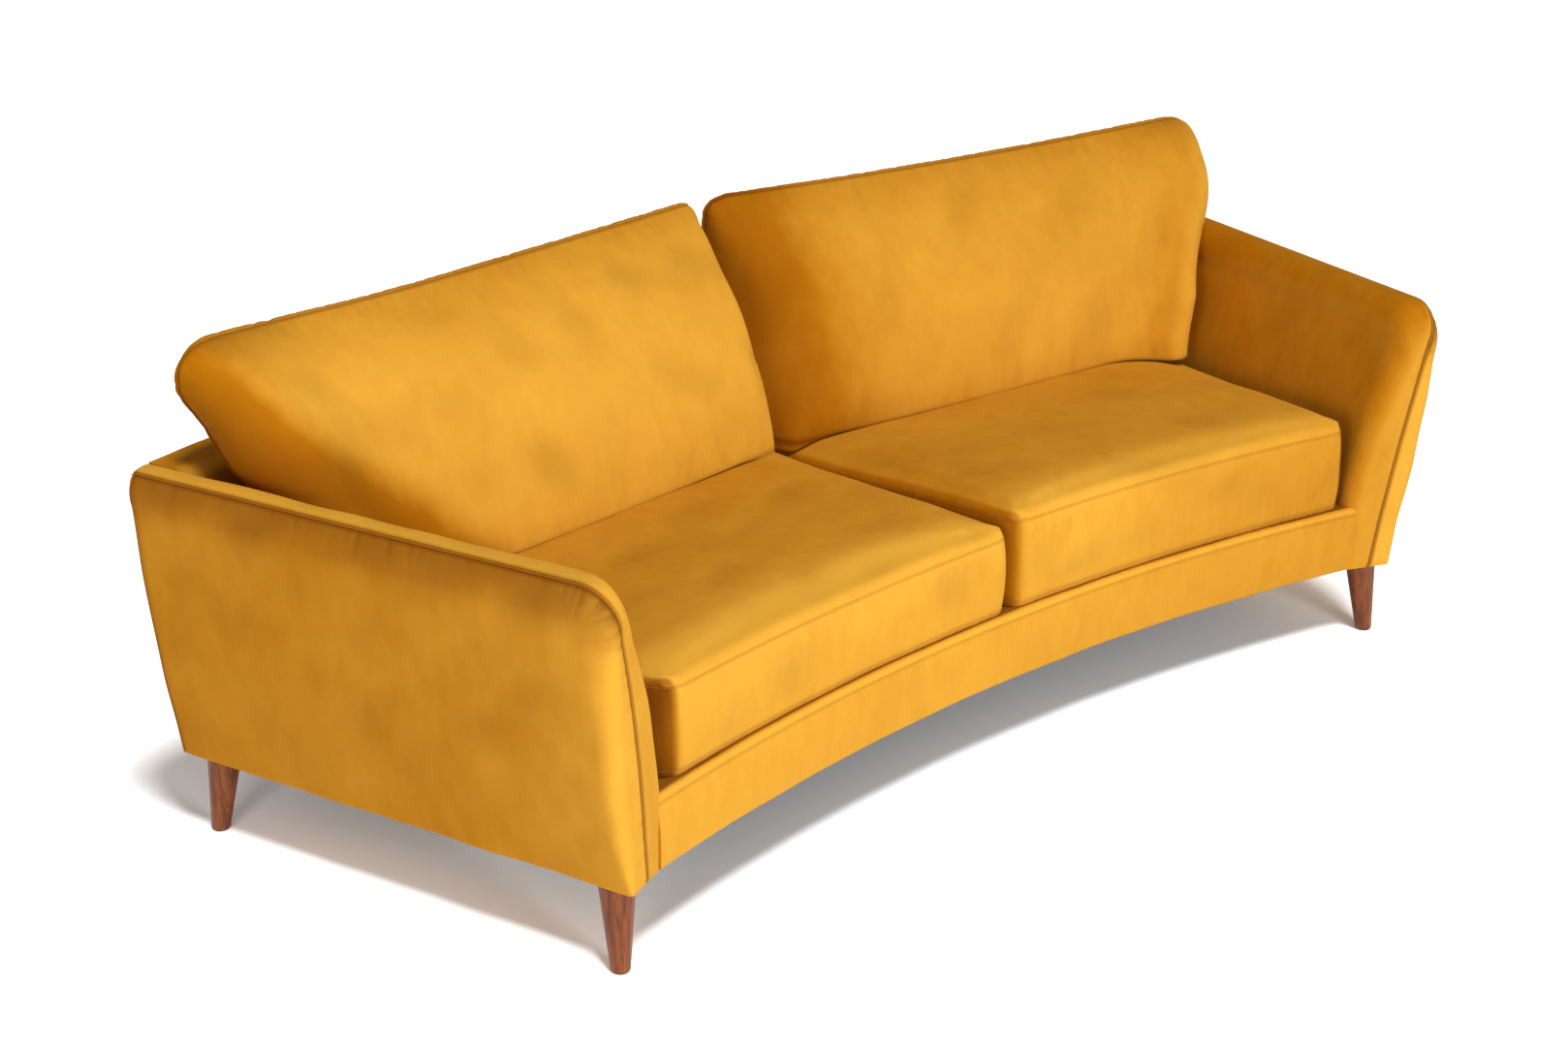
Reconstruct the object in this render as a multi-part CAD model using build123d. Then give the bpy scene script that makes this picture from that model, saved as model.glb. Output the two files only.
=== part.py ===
"""Curved sofa on splayed wooden legs, with two loose seat cushions and two loose back cushions.

Frame: millimetres, +Z up, +X to the right as seen from the front, the front faces -Y.
The origin lies on the floor under the middle of the sofa. Left means -X.
Everything follows one vertical axis in front of the sofa: the apron, the seat and the back are
arcs about it, and both arms point at it.
"""

import os
from math import cos, pi, radians, sin, sqrt, tan

from build123d import *

# Overall shape
LEG_HEIGHT = 150.0  # floor to the underside of the upholstery
APRON_HEIGHT = 120.0  # underside to the seat deck
ARM_HEIGHT = 668.0  # floor to the top of the arms and of the back
FRONT_RADIUS = 3750.0  # front face of the apron, from the axis of the curve
BACK_RADIUS = 4675.0  # outer face of the back, from the same axis
ARM_ANGLE = 14.83  # direction of each arm, from straight ahead, in degrees

# Cloth, padding and fits
COVER = 2.0  # upholstery cloth
PAD = 30.0  # foam on the back frame
APRON_PAD = 10.0  # foam on the front rail
FIT_GAP = 0.5  # between pieces that are assembled with room
SOFT_GAP = 1.0  # between loose cushions and what they rest on
PIPING_RADIUS = 2.5  # corded seam of the arms

# Arms, measured across the arm from its outer foot
ARM_FOOT_WIDTH = 101.0
ARM_OUTER_FLARE = 72.0  # lean of the outer face up to its shoulder
ARM_INNER_FLARE = 85.0  # lean of the inner face up to its shoulder
ARM_OUTER_BULGE = 8.0
ARM_INNER_BULGE = 19.0
OUTER_SHOULDER_DROP = 58.0  # below the top of the arm
INNER_SHOULDER_DROP = 68.0
SHOULDER_BULGE = 9.0
SEAM_SETBACK = 18.0  # top seam, in from the outer shoulder
SEAM_FOOT_SETBACK = 47.0  # front seam at the underside, in from the outer foot
SEAM_DROP = 2.0  # top seam, below the crown of the arm
TOP_STRIP = 42.0  # flat top of the arm, from the seam inwards
TOP_CROWN = 2.0
ARM_FRONT_LEAD = 22.0  # arm's front in front of the apron, at the top
ARM_FOOT_LEAD = 2.0  # the same at the underside
ARM_CORNER_RADIUS = 65.0  # rounded top front corner

# Wooden frame
RAIL_THICKNESS = 28.0
RAIL_LOWERED = 14.0  # rail tops below the seat deck
STRETCHER_WIDTH = 45.0
STRETCHER_HEIGHT = 60.0
CORNER_BLOCK = 90.0
BLOCK_HEIGHT = 60.0
RIB_THICKNESS = 21.0
RIB_COUNT = 4
TOP_RAIL_HEIGHT = 35.0
SILL_WIDTH = 62.0
SILL_HEIGHT = 70.0
SILL_SETBACK = 18.0  # sill, in from the outer foot of the arm
POST_THICKNESS = 28.0
POST_DEPTH = 60.0
POST_SETBACK = 16.0  # post, in from the arm's front and rear
ARM_RAIL_WIDTH = 40.0
ARM_RAIL_HEIGHT = 28.0
ARM_RAIL_DROP = 28.0  # arm rail, below the top of the arm
BOARD = 4.0  # hardboard behind the outer arm cloth

# Back of the frame
BACK_TOP_DEPTH = 85.0
BACK_RAKE = 14.0  # lean of the face behind the cushions, in degrees
BACK_LIP_RADIUS = 26.0  # rounded front edge of the back's top

# Belts under the seat and behind the back padding
BELT_THICKNESS = 2.0
BELT_WIDTH = 60.0
SEAT_BELTS = 10
BACK_BELTS = 3
BELT_LAP = 20.0  # belt end on its rail
CLIP_THICKNESS = 1.2
CLIP_LENGTH = 14.0

# Legs and their fixings
LEG_TOP_RADIUS = 27.0
LEG_FOOT_RADIUS = 15.5
LEG_SPLAY_OUT = 13.0  # foot further out than the top
LEG_SPLAY_ALONG = 12.0  # foot further from the middle of the arm than the top
FRONT_LEG_SETBACK = 43.0  # leg's top, behind the arm's front
REAR_LEG_SETBACK = 66.0  # leg's top, in front of the outer back
FRONT_LEG_IN = 30.0  # leg's top, in from the outer foot of the arm
REAR_LEG_IN = 48.0
GLIDE_RADIUS = 12.0
GLIDE_HEIGHT = 3.0
GLIDE_NAIL_RADIUS = 1.5
GLIDE_NAIL_LENGTH = 14.0
LEG_BOLT_RADIUS = 4.0
LEG_BOLT_IN_LEG = 45.0
INSERT_RADIUS = 6.5
INSERT_LENGTH = 32.0
ARM_BOLT_RADIUS = 4.0
ARM_BOLT_LENGTH = 70.0
ARM_BOLT_HEAD_RADIUS = 9.0
ARM_BOLT_HEAD = 3.0
ARM_BOLT_RISE = 40.0  # above the underside
ARM_BOLT_INSET = 170.0  # behind the front rail and in front of the rear seat rail

# Seat cushions
SEAT_SETBACK = 22.0  # cushion's front, behind the apron's face
SEAT_THICKNESS = 142.0  # at the edges
SEAT_CROWN = 24.0
SEAT_SIDE_CROWN = 9.0  # what is left of the crown beside the end seams
SEAT_BULGE = 8.0
SEAT_CORNER = 34.0  # rounded upright corners
SEAT_ROLL = 12.0  # drawn-in top and bottom edges at the ends
SEAT_GAP = 3.0  # between the cushions, and beside the arms
SEAT_REAR_GAP = 4.0

# Back cushions
BACK_CUSHION_TOP = 868.0
BACK_CUSHION_DEPTH = 205.0  # on the seat, from front to rear
RIDGE_FORWARD = 14.0  # top seam, in front of the line of the back's lip
RIDGE_WIDTH = 16.0
FRONT_BULGE = 70.0
REAR_BULGE = 7.0
BACK_CUSHION_REAR_GAP = 3.0
END_DEPTH = 48.0  # at the end seams
END_BULGE = 8.0
ARM_END_ROLL = 110.0  # length over which the front rolls back to the seam beside the arm
MIDDLE_END_ROLL = 60.0  # the same beside the other cushion
END_DROP = 46.0  # top corners, below the middle of the top seam
END_LIFT = 10.0  # lower corners, above the seat
BACK_CUSHION_FLARE = 0.30  # lean of the outer end along the arm, per unit of height
BACK_CUSHION_SIDE_GAP = 6.0

# Cushion fillings
CORE_GAP = 1.0
DUST_COVER = 1.0
DECK_CLOTH = 2.0
DECK_PAD = 6.0

# Places worked out from the sizes
DECK = LEG_HEIGHT + APRON_HEIGHT
FRAME_FLOOR = LEG_HEIGHT + COVER
RAIL_TOP = DECK - RAIL_LOWERED
ARM_FRONT_TOP = FRONT_RADIUS - ARM_FRONT_LEAD
ARM_FRONT_FOOT = FRONT_RADIUS - ARM_FOOT_LEAD
ARM_REAR = BACK_RADIUS - COVER - 3 * FIT_GAP
FRAME_REAR = BACK_RADIUS - COVER - FIT_GAP
RAIL_FRONT = FRONT_RADIUS + COVER + APRON_PAD
RAIL_BACK = RAIL_FRONT + RAIL_THICKNESS
BACK_LIP = BACK_RADIUS - BACK_TOP_DEPTH
RAKE = tan(radians(BACK_RAKE))
SHOULDER_OUT = (ARM_OUTER_FLARE, ARM_HEIGHT - OUTER_SHOULDER_DROP)
SHOULDER_IN = (ARM_INNER_FLARE - ARM_FOOT_WIDTH, ARM_HEIGHT - INNER_SHOULDER_DROP)
TOP_SEAM = (ARM_OUTER_FLARE - SEAM_SETBACK, ARM_HEIGHT - SEAM_DROP)
TOP_INNER = (TOP_SEAM[0] - TOP_STRIP, TOP_SEAM[1])
SEAM_LEAN = (TOP_SEAM[0] + SEAM_FOOT_SETBACK) / (TOP_SEAM[1] - LEG_HEIGHT)
SPAN_ANGLE = ARM_ANGLE + 4.0  # enough to pass both arms before trimming
FRONT_EDGE = ARM_FRONT_TOP * cos(radians(ARM_ANGLE)) - ARM_OUTER_FLARE * sin(radians(ARM_ANGLE))
CENTRE_Y = -(FRONT_EDGE + BACK_RADIUS) / 2
CURVE_AXIS = Axis((0, CENTRE_Y, 0), (0, 0, 1))
TO_ARM = Pos(0, CENTRE_Y, 0) * Rot(0, 0, -ARM_ANGLE)


def back_face(height):
    """Radius of the face behind the back cushions at a height."""
    return BACK_LIP - (ARM_HEIGHT - height) * RAKE


def polygon(*points):
    """Flat face with straight sides through the points."""
    return make_face(Polyline(*points, close=True))


def curved(profile):
    """Carry a radius-height profile along the sofa's curve, past both arms."""
    upright = Plane(origin=(0, CENTRE_Y, 0), x_dir=(0, 1, 0), z_dir=(1, 0, 0)) * profile
    return revolve(upright.rotate(CURVE_AXIS, -SPAN_ANGLE), CURVE_AXIS, 2 * SPAN_ANGLE)


def along_arm(profile, start, end):
    """Carry a width-height profile along the right arm between two radii."""
    return TO_ARM * extrude(Plane.XZ.offset(-start) * profile, amount=start - end)


def across_arm(profile, start, end):
    """Carry a radius-height profile across the right arm between two widths."""
    return TO_ARM * extrude(Plane.YZ.offset(start) * profile, amount=end - start)


def both_sides(solid):
    """The right-hand piece with its mirror image on the left."""
    return {"right": solid, "left": mirror(solid, about=Plane.YZ)}


def trim_ends(solid, cutter):
    """Cut a curved piece at both arms."""
    return solid - cutter - mirror(cutter, about=Plane.YZ)


def arm_outline():
    """Width-height outline of the right arm."""
    foot_in = (-ARM_FOOT_WIDTH, LEG_HEIGHT)
    foot_out = (0, LEG_HEIGHT)
    edges = [
        Line(foot_in, foot_out),
        SagittaArc(foot_out, SHOULDER_OUT, -ARM_OUTER_BULGE),
        SagittaArc(SHOULDER_OUT, TOP_SEAM, -SHOULDER_BULGE),
        SagittaArc(TOP_SEAM, TOP_INNER, -TOP_CROWN),
        SagittaArc(TOP_INNER, SHOULDER_IN, -SHOULDER_BULGE),
        SagittaArc(SHOULDER_IN, foot_in, -ARM_INNER_BULGE),
    ]
    return make_face(edges)


def arm_side():
    """Radius-height outline of the right arm, with its rounded top front corner."""
    box = polygon(
        (ARM_FRONT_FOOT, LEG_HEIGHT),
        (ARM_REAR, LEG_HEIGHT),
        (ARM_REAR, ARM_HEIGHT),
        (ARM_FRONT_TOP, ARM_HEIGHT),
    )
    corner = box.vertices().sort_by(Axis.X)[0]
    return fillet(corner, ARM_CORNER_RADIUS)


def arm_form(inset):
    """The right arm's padded form, drawn in by an amount on every side."""
    outline = arm_outline()
    side = arm_side()
    if inset:
        outline = offset(outline, -inset)
        side = offset(side, -inset)
    margin = ARM_FOOT_WIDTH
    length = along_arm(outline, ARM_FRONT_TOP - margin, ARM_REAR + margin)
    width = across_arm(side, -ARM_FOOT_WIDTH - margin, ARM_OUTER_FLARE + margin)
    return length & width


def beside_arm(gap):
    """Everything from the right arm's inner face outwards, widened by a gap."""
    far = ARM_OUTER_FLARE + 10 * ARM_FOOT_WIDTH
    high = ARM_HEIGHT + ARM_FOOT_WIDTH
    foot = (-ARM_FOOT_WIDTH - gap, LEG_HEIGHT)
    shoulder = (SHOULDER_IN[0] - gap, SHOULDER_IN[1])
    top = (TOP_INNER[0] - gap, TOP_INNER[1])
    edges = [
        SagittaArc(foot, shoulder, ARM_INNER_BULGE),
        SagittaArc(shoulder, top, SHOULDER_BULGE),
        Polyline(top, (top[0], high), (far, high), (far, 0), (foot[0], 0), foot),
    ]
    return along_arm(make_face(edges), FRONT_RADIUS - ARM_FOOT_WIDTH, BACK_RADIUS + ARM_FOOT_WIDTH)


def base_side(gap):
    """Everything outside the upright plane of the right arm's inner foot, widened by a gap."""
    near = -ARM_FOOT_WIDTH - gap
    far = ARM_OUTER_FLARE + 10 * ARM_FOOT_WIDTH
    block = polygon((near, 0), (far, 0), (far, ARM_HEIGHT), (near, ARM_HEIGHT))
    return along_arm(block, FRONT_RADIUS - ARM_FOOT_WIDTH, BACK_RADIUS + ARM_FOOT_WIDTH)


def outside_arm():
    """Everything beyond the right arm's outer face and above its top."""
    far = ARM_OUTER_FLARE + 10 * ARM_FOOT_WIDTH
    high = ARM_HEIGHT + ARM_FOOT_WIDTH
    foot_out = (0, LEG_HEIGHT)
    edges = [
        SagittaArc(foot_out, SHOULDER_OUT, -ARM_OUTER_BULGE),
        SagittaArc(SHOULDER_OUT, TOP_SEAM, -SHOULDER_BULGE),
        Polyline(TOP_SEAM, (TOP_SEAM[0], high), (far, high), (far, 0), (0, 0), foot_out),
    ]
    return along_arm(make_face(edges), FRONT_RADIUS, BACK_RADIUS + ARM_FOOT_WIDTH)


def block_profile(inner, outer, low, high):
    """Rectangle of a curved bar between two radii and two heights."""
    return polygon((inner, low), (outer, low), (outer, high), (inner, high))


def leg_axis(front):
    """Middle of a right leg's top and foot, across and along the arm."""
    if front:
        top = Vector(-FRONT_LEG_IN, ARM_FRONT_FOOT + FRONT_LEG_SETBACK, LEG_HEIGHT)
        return top, top + Vector(LEG_SPLAY_OUT, -LEG_SPLAY_ALONG, -LEG_HEIGHT)
    top = Vector(-REAR_LEG_IN, BACK_RADIUS - REAR_LEG_SETBACK, LEG_HEIGHT)
    return top, top + Vector(LEG_SPLAY_OUT, LEG_SPLAY_ALONG, -LEG_HEIGHT)


def leg_plane(front):
    """Plane at a leg's top, facing down along the leg."""
    top, foot = leg_axis(front)
    return Plane(origin=top, z_dir=foot - top)


def leg_rod(front, radius, above, below):
    """Round rod on a right leg's axis, from above its top to below it."""
    plane = leg_plane(front).offset(-above)
    return TO_ARM * extrude(plane * Circle(radius), amount=above + below)


def leg(front):
    """Tapered splayed leg with flat ends, drilled for its bolt and its glide's nail."""
    top, foot = leg_axis(front)
    length = (foot - top).length
    taper = (LEG_TOP_RADIUS - LEG_FOOT_RADIUS) / length
    reach = LEG_TOP_RADIUS  # past both ends, before they are cut level
    plane = leg_plane(front)
    wide = plane.offset(-reach) * Circle(LEG_TOP_RADIUS + taper * reach)
    narrow = plane.offset(length + reach) * Circle(LEG_FOOT_RADIUS - taper * reach)
    middle = (top + foot) / 2
    slab = Pos(middle.X, middle.Y, (LEG_HEIGHT + GLIDE_HEIGHT) / 2) * Box(
        6 * LEG_TOP_RADIUS, 6 * LEG_TOP_RADIUS, LEG_HEIGHT - GLIDE_HEIGHT
    )
    body = TO_ARM * (loft([wide, narrow]) & slab)
    return body - leg_rod(front, LEG_BOLT_RADIUS, reach, LEG_BOLT_IN_LEG) - glide(front)


def glide(front):
    """Nail-on glide under a leg."""
    _, foot = leg_axis(front)
    disc = Pos(foot.X, foot.Y, GLIDE_HEIGHT / 2) * Cylinder(GLIDE_RADIUS, GLIDE_HEIGHT)
    nail_height = GLIDE_HEIGHT + GLIDE_NAIL_LENGTH
    nail = Pos(foot.X, foot.Y, nail_height / 2) * Cylinder(GLIDE_NAIL_RADIUS, nail_height)
    return TO_ARM * (disc + nail)


def leg_bolt(front):
    """Hanger bolt from the leg up into the sill's insert."""
    return leg_rod(front, LEG_BOLT_RADIUS, INSERT_LENGTH, LEG_BOLT_IN_LEG)


def leg_insert(front):
    """Threaded insert in the sill, around the hanger bolt."""
    sleeve = leg_rod(front, INSERT_RADIUS, INSERT_LENGTH, 0)
    return (sleeve & sill_block()) - leg_rod(front, LEG_BOLT_RADIUS, INSERT_LENGTH, 0)


def sill_block():
    """Plain block of the right arm's sill."""
    inner = -SILL_SETBACK - SILL_WIDTH
    high = FRAME_FLOOR + SILL_HEIGHT
    profile = block_profile(inner, -SILL_SETBACK, FRAME_FLOOR, high)
    return along_arm(profile, ARM_FRONT_FOOT + POST_SETBACK, ARM_REAR - POST_SETBACK)


def arm_bolts():
    """Bolts that hold the right arm to the seat base, from inside the base."""
    head = -ARM_FOOT_WIDTH - FIT_GAP - RAIL_THICKNESS
    bolts = []
    rear = seat_rail_rear() - RAIL_THICKNESS - ARM_BOLT_INSET
    for along in (RAIL_BACK + ARM_BOLT_INSET, rear):
        place = TO_ARM * Pos(head, along, LEG_HEIGHT + ARM_BOLT_RISE) * Rot(0, 90, 0)
        shank = Cylinder(ARM_BOLT_RADIUS, ARM_BOLT_LENGTH, align=(Align.CENTER, Align.CENTER, Align.MIN))
        cap = Cylinder(ARM_BOLT_HEAD_RADIUS, ARM_BOLT_HEAD, align=(Align.CENTER, Align.CENTER, Align.MAX))
        bolts.append(place * (shank + cap))
    return bolts


def arm_middle(height):
    """Middle of the right arm's thickness at a height."""
    share = (height - LEG_HEIGHT) / (SHOULDER_OUT[1] - LEG_HEIGHT)
    outer = ARM_OUTER_FLARE * share
    inner = ARM_INNER_FLARE * share - ARM_FOOT_WIDTH
    return (outer + inner) / 2


def leaning_profile(low, high, left, right):
    """Width-height profile that leans with the arm, between two offsets from its middle."""
    foot = arm_middle(low)
    head = arm_middle(high)
    return polygon((foot + left, low), (foot + right, low), (head + right, high), (head + left, high))


def arm_frame():
    """Sill, posts, top rail and board of the right arm."""
    sill_top = FRAME_FLOOR + SILL_HEIGHT
    rail_top = ARM_HEIGHT - ARM_RAIL_DROP
    rail_low = rail_top - ARM_RAIL_HEIGHT
    front = ARM_FRONT_FOOT + POST_SETBACK
    rear = ARM_REAR - POST_SETBACK
    half = POST_THICKNESS / 2
    post = leaning_profile(sill_top, rail_low, -half, half)
    middle = arm_middle(rail_low)
    rail = block_profile(middle - ARM_RAIL_WIDTH / 2, middle + ARM_RAIL_WIDTH / 2, rail_low, rail_top)
    board = leaning_profile(sill_top, rail_low, half, half + BOARD)
    sill = sill_block()
    for bolt in arm_bolts():
        sill -= bolt
    for is_front in (True, False):
        sill -= leg_rod(is_front, INSERT_RADIUS, INSERT_LENGTH, LEG_HEIGHT)
    return {
        "arm_sill": sill,
        "arm_front_post": along_arm(post, front, front + POST_DEPTH),
        "arm_rear_post": along_arm(post, rear - POST_DEPTH, rear),
        "arm_top_rail": along_arm(rail, front + ARM_CORNER_RADIUS / 2, rear),
        "arm_board": along_arm(board, front, rear),
    }


def seam_half():
    """Everything on the outer side of the right arm's seam plane."""
    low = LEG_HEIGHT - ARM_FOOT_WIDTH
    high = ARM_HEIGHT + ARM_FOOT_WIDTH
    far = ARM_OUTER_FLARE + 2 * ARM_FOOT_WIDTH
    foot = -SEAM_FOOT_SETBACK + SEAM_LEAN * (low - LEG_HEIGHT)
    head = -SEAM_FOOT_SETBACK + SEAM_LEAN * (high - LEG_HEIGHT)
    block = polygon((foot, low), (far, low), (far, high), (head, high))
    return along_arm(block, ARM_FRONT_TOP - ARM_FOOT_WIDTH, ARM_REAR + ARM_FOOT_WIDTH)


def arm_piping():
    """Corded seam of the right arm: up its front, along its top and down its rear corner."""
    stretch = sqrt(1 + SEAM_LEAN**2)  # length along the leaning seam plane per unit of height
    seam = Plane(
        origin=(-SEAM_FOOT_SETBACK, 0, LEG_HEIGHT), x_dir=(0, 1, 0), z_dir=(1, 0, -SEAM_LEAN)
    )
    top = (TOP_SEAM[1] - LEG_HEIGHT) * stretch
    rear = ARM_REAR - 2 * PIPING_RADIUS
    corners = [(rear, top), (ARM_FRONT_TOP, top), (ARM_FRONT_FOOT, COVER)]
    path = seam * FilletPolyline(*corners, radius=ARM_CORNER_RADIUS)
    start = Plane(origin=path @ 0, z_dir=path % 0)
    front = sweep(start * Circle(PIPING_RADIUS), path=path)
    foot_out = (0, LEG_HEIGHT)
    corner = BACK_RADIUS - COVER - 2 * FIT_GAP - PIPING_RADIUS
    down = Plane.XZ.offset(-corner) * SagittaArc(SHOULDER_OUT, foot_out, ARM_OUTER_BULGE)
    start = Plane(origin=down @ 0, z_dir=down % 0)
    upright = sweep(start * Circle(PIPING_RADIUS), path=down)
    return [TO_ARM * front, TO_ARM * upright]


def arm_upholstery(frame):
    """Padding, covers and piping of the right arm around its frame."""
    piping = arm_piping()
    lining = arm_form(COVER)
    cover = arm_form(0) - lining
    pad = lining
    for piece in frame.values():
        pad -= piece
    for bolt in arm_bolts():
        cover -= bolt
        pad -= bolt
    for is_front in (True, False):
        cover -= leg_rod(is_front, INSERT_RADIUS, INSERT_LENGTH, LEG_HEIGHT)
        pad -= leg_rod(is_front, INSERT_RADIUS, INSERT_LENGTH, LEG_HEIGHT)
    for cord in piping:
        cover -= cord
        pad -= cord
    return {
        "arm_pad": pad,
        "arm_outer_cover": cover & seam_half(),
        "arm_inner_cover": cover - seam_half(),
        "arm_piping": Compound(children=piping),
    }


def apron_profile(inset, reach):
    """Radius-height profile of the apron and the front of the deck, drawn in by an inset."""
    face = FRONT_RADIUS + inset
    top = DECK - inset
    box = polygon((face, LEG_HEIGHT + inset), (reach, LEG_HEIGHT + inset), (reach, top), (face, top))
    corner = box.vertices().sort_by(Axis.X)[:2].sort_by(Axis.Y)[1]
    return fillet(corner, APRON_PAD + COVER - inset)


def apron():
    """Curved front rail with its padding and cover."""
    reach = RAIL_BACK + BELT_LAP
    rail = block_profile(RAIL_FRONT, RAIL_BACK, FRAME_FLOOR, RAIL_TOP)
    belt_room = block_profile(RAIL_FRONT, reach, FRAME_FLOOR, DECK - COVER - DECK_PAD)
    pad = apron_profile(COVER, reach) - belt_room
    hem = block_profile(RAIL_BACK, reach + COVER, 0, DECK - COVER)
    cover = apron_profile(0, reach) - apron_profile(COVER, reach + COVER) - hem
    inner = beside_arm(FIT_GAP)
    return {
        "front_rail": trim_ends(curved(rail), base_side(FIT_GAP)),
        "apron_pad": trim_ends(curved(pad), inner),
        "apron_cover": trim_ends(curved(cover), inner),
    }


def back_profile(inset):
    """Radius-height profile of the padded back, drawn in on its face and top."""
    low = DECK + COVER
    top = ARM_HEIGHT - inset
    box = polygon(
        (back_face(low) + inset, low),
        (FRAME_REAR, low),
        (FRAME_REAR, top),
        (back_face(top) + inset, top),
    )
    lip = box.vertices().sort_by(Axis.Y)[2:].sort_by(Axis.X)[0]
    return fillet(lip, max(BACK_LIP_RADIUS - inset, COVER))


def back_cover_profile():
    """Radius-height profile of the cloth on the outer back."""
    return block_profile(BACK_RADIUS - COVER, BACK_RADIUS, LEG_HEIGHT, ARM_HEIGHT - SEAM_DROP)


def rib(angle):
    """Plywood rib of the back at an angle from the middle, standing between the seat rails."""
    foot = seat_rail_rear() + FIT_GAP
    inset = COVER + PAD + BELT_THICKNESS + FIT_GAP
    low = DECK + COVER
    top = ARM_HEIGHT - COVER - PAD - TOP_RAIL_HEIGHT
    step = FRAME_REAR - RAIL_THICKNESS - FIT_GAP
    shape = polygon(
        (foot, FRAME_FLOOR),
        (step, FRAME_FLOOR),
        (step, RAIL_TOP + FIT_GAP),
        (FRAME_REAR, RAIL_TOP + FIT_GAP),
        (FRAME_REAR, top),
        (back_face(top) + inset, top),
        (back_face(low) + inset, low),
        (back_face(low) + inset, RAIL_TOP),
        (foot, RAIL_TOP),
    )
    plate = extrude(Plane.YZ.offset(-RIB_THICKNESS / 2) * shape, amount=RIB_THICKNESS)
    return Pos(0, CENTRE_Y, 0) * Rot(0, 0, -angle) * plate


def seat_rail_rear():
    """Rear radius of the rail under the rear edge of the seat."""
    return back_face(DECK) + RAIL_THICKNESS / 2


def back_frame():
    """Rails and ribs of the back and of the seat's rear edge."""
    rear = seat_rail_rear()
    seat_rail = block_profile(rear - RAIL_THICKNESS, rear, FRAME_FLOOR, RAIL_TOP)
    back_rail = block_profile(FRAME_REAR - RAIL_THICKNESS, FRAME_REAR, FRAME_FLOOR, RAIL_TOP)
    high = ARM_HEIGHT - COVER - PAD
    top_rail = block_profile(FRAME_REAR - RAIL_THICKNESS, FRAME_REAR, high - TOP_RAIL_HEIGHT, high)
    pieces = {
        "rear_seat_rail": trim_ends(curved(seat_rail), base_side(RAIL_THICKNESS + FIT_GAP)),
        "back_rail": trim_ends(curved(back_rail), base_side(FIT_GAP)),
        "back_top_rail": trim_ends(curved(top_rail), beside_arm(FIT_GAP)),
    }
    base_angle = ARM_ANGLE - (ARM_FOOT_WIDTH + RAIL_THICKNESS + RIB_THICKNESS) / BACK_RADIUS * 180 / pi
    for number in range(RIB_COUNT):
        angle = base_angle * (2 * number / (RIB_COUNT - 1) - 1)
        pieces[f"back_rib_{number + 1}"] = rib(angle)
    return pieces


def back_upholstery():
    """Padding, belts and covers of the back."""
    belts = []
    inset = COVER + PAD
    low = DECK + COVER
    high = ARM_HEIGHT - COVER - PAD - TOP_RAIL_HEIGHT
    spacing = (high - low) / (BACK_BELTS + 1)
    for number in range(BACK_BELTS):
        middle = low + spacing * (number + 1)
        foot = middle - BELT_WIDTH / 2
        head = middle + BELT_WIDTH / 2
        belt = polygon(
            (back_face(foot) + inset, foot),
            (back_face(foot) + inset + BELT_THICKNESS, foot),
            (back_face(head) + inset + BELT_THICKNESS, head),
            (back_face(head) + inset, head),
        )
        belts.append(trim_ends(curved(belt), beside_arm(FIT_GAP)))
    pad = back_profile(COVER) - back_profile(inset)
    cover = back_profile(0) - back_profile(COVER)
    return {
        "back_pad": trim_ends(curved(pad), beside_arm(FIT_GAP)),
        "back_inner_cover": trim_ends(curved(cover), beside_arm(FIT_GAP)),
        "back_belts": Compound(children=belts),
        "back_outer_cover": trim_ends(curved(back_cover_profile()), outside_arm()),
    }


def base_ends():
    """Base member beside the right arm, drilled for the arm bolts."""
    outer = -ARM_FOOT_WIDTH - FIT_GAP
    profile = block_profile(outer - RAIL_THICKNESS, outer, FRAME_FLOOR, RAIL_TOP)
    board = along_arm(profile, RAIL_FRONT, FRAME_REAR)
    rails = block_profile(RAIL_FRONT - APRON_PAD, RAIL_BACK + FIT_GAP, 0, DECK)
    rear = block_profile(FRAME_REAR - RAIL_THICKNESS - FIT_GAP, BACK_RADIUS, 0, DECK)
    board = board - curved(rails) - curved(rear)
    for bolt in arm_bolts():
        board -= bolt
    return board


def corner_blocks():
    """Glued corner blocks of the seat base, on the right."""
    inner = -ARM_FOOT_WIDTH - FIT_GAP - RAIL_THICKNESS
    front = RAIL_BACK + 2 * FIT_GAP
    rear = seat_rail_rear() - RAIL_THICKNESS - 2 * FIT_GAP
    rails = curved(block_profile(RAIL_FRONT, RAIL_BACK + FIT_GAP, 0, DECK))
    tail = curved(block_profile(seat_rail_rear() - RAIL_THICKNESS - FIT_GAP, BACK_RADIUS, 0, DECK))
    blocks = []
    for corner, along in ((front, CORNER_BLOCK), (rear, -CORNER_BLOCK)):
        base = polygon((inner, corner), (inner, corner + along), (inner - CORNER_BLOCK, corner))
        wedge = TO_ARM * Pos(0, 0, FRAME_FLOOR) * extrude(base, amount=BLOCK_HEIGHT, dir=(0, 0, 1))
        blocks.append(wedge - rails - tail)
    return blocks


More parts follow.
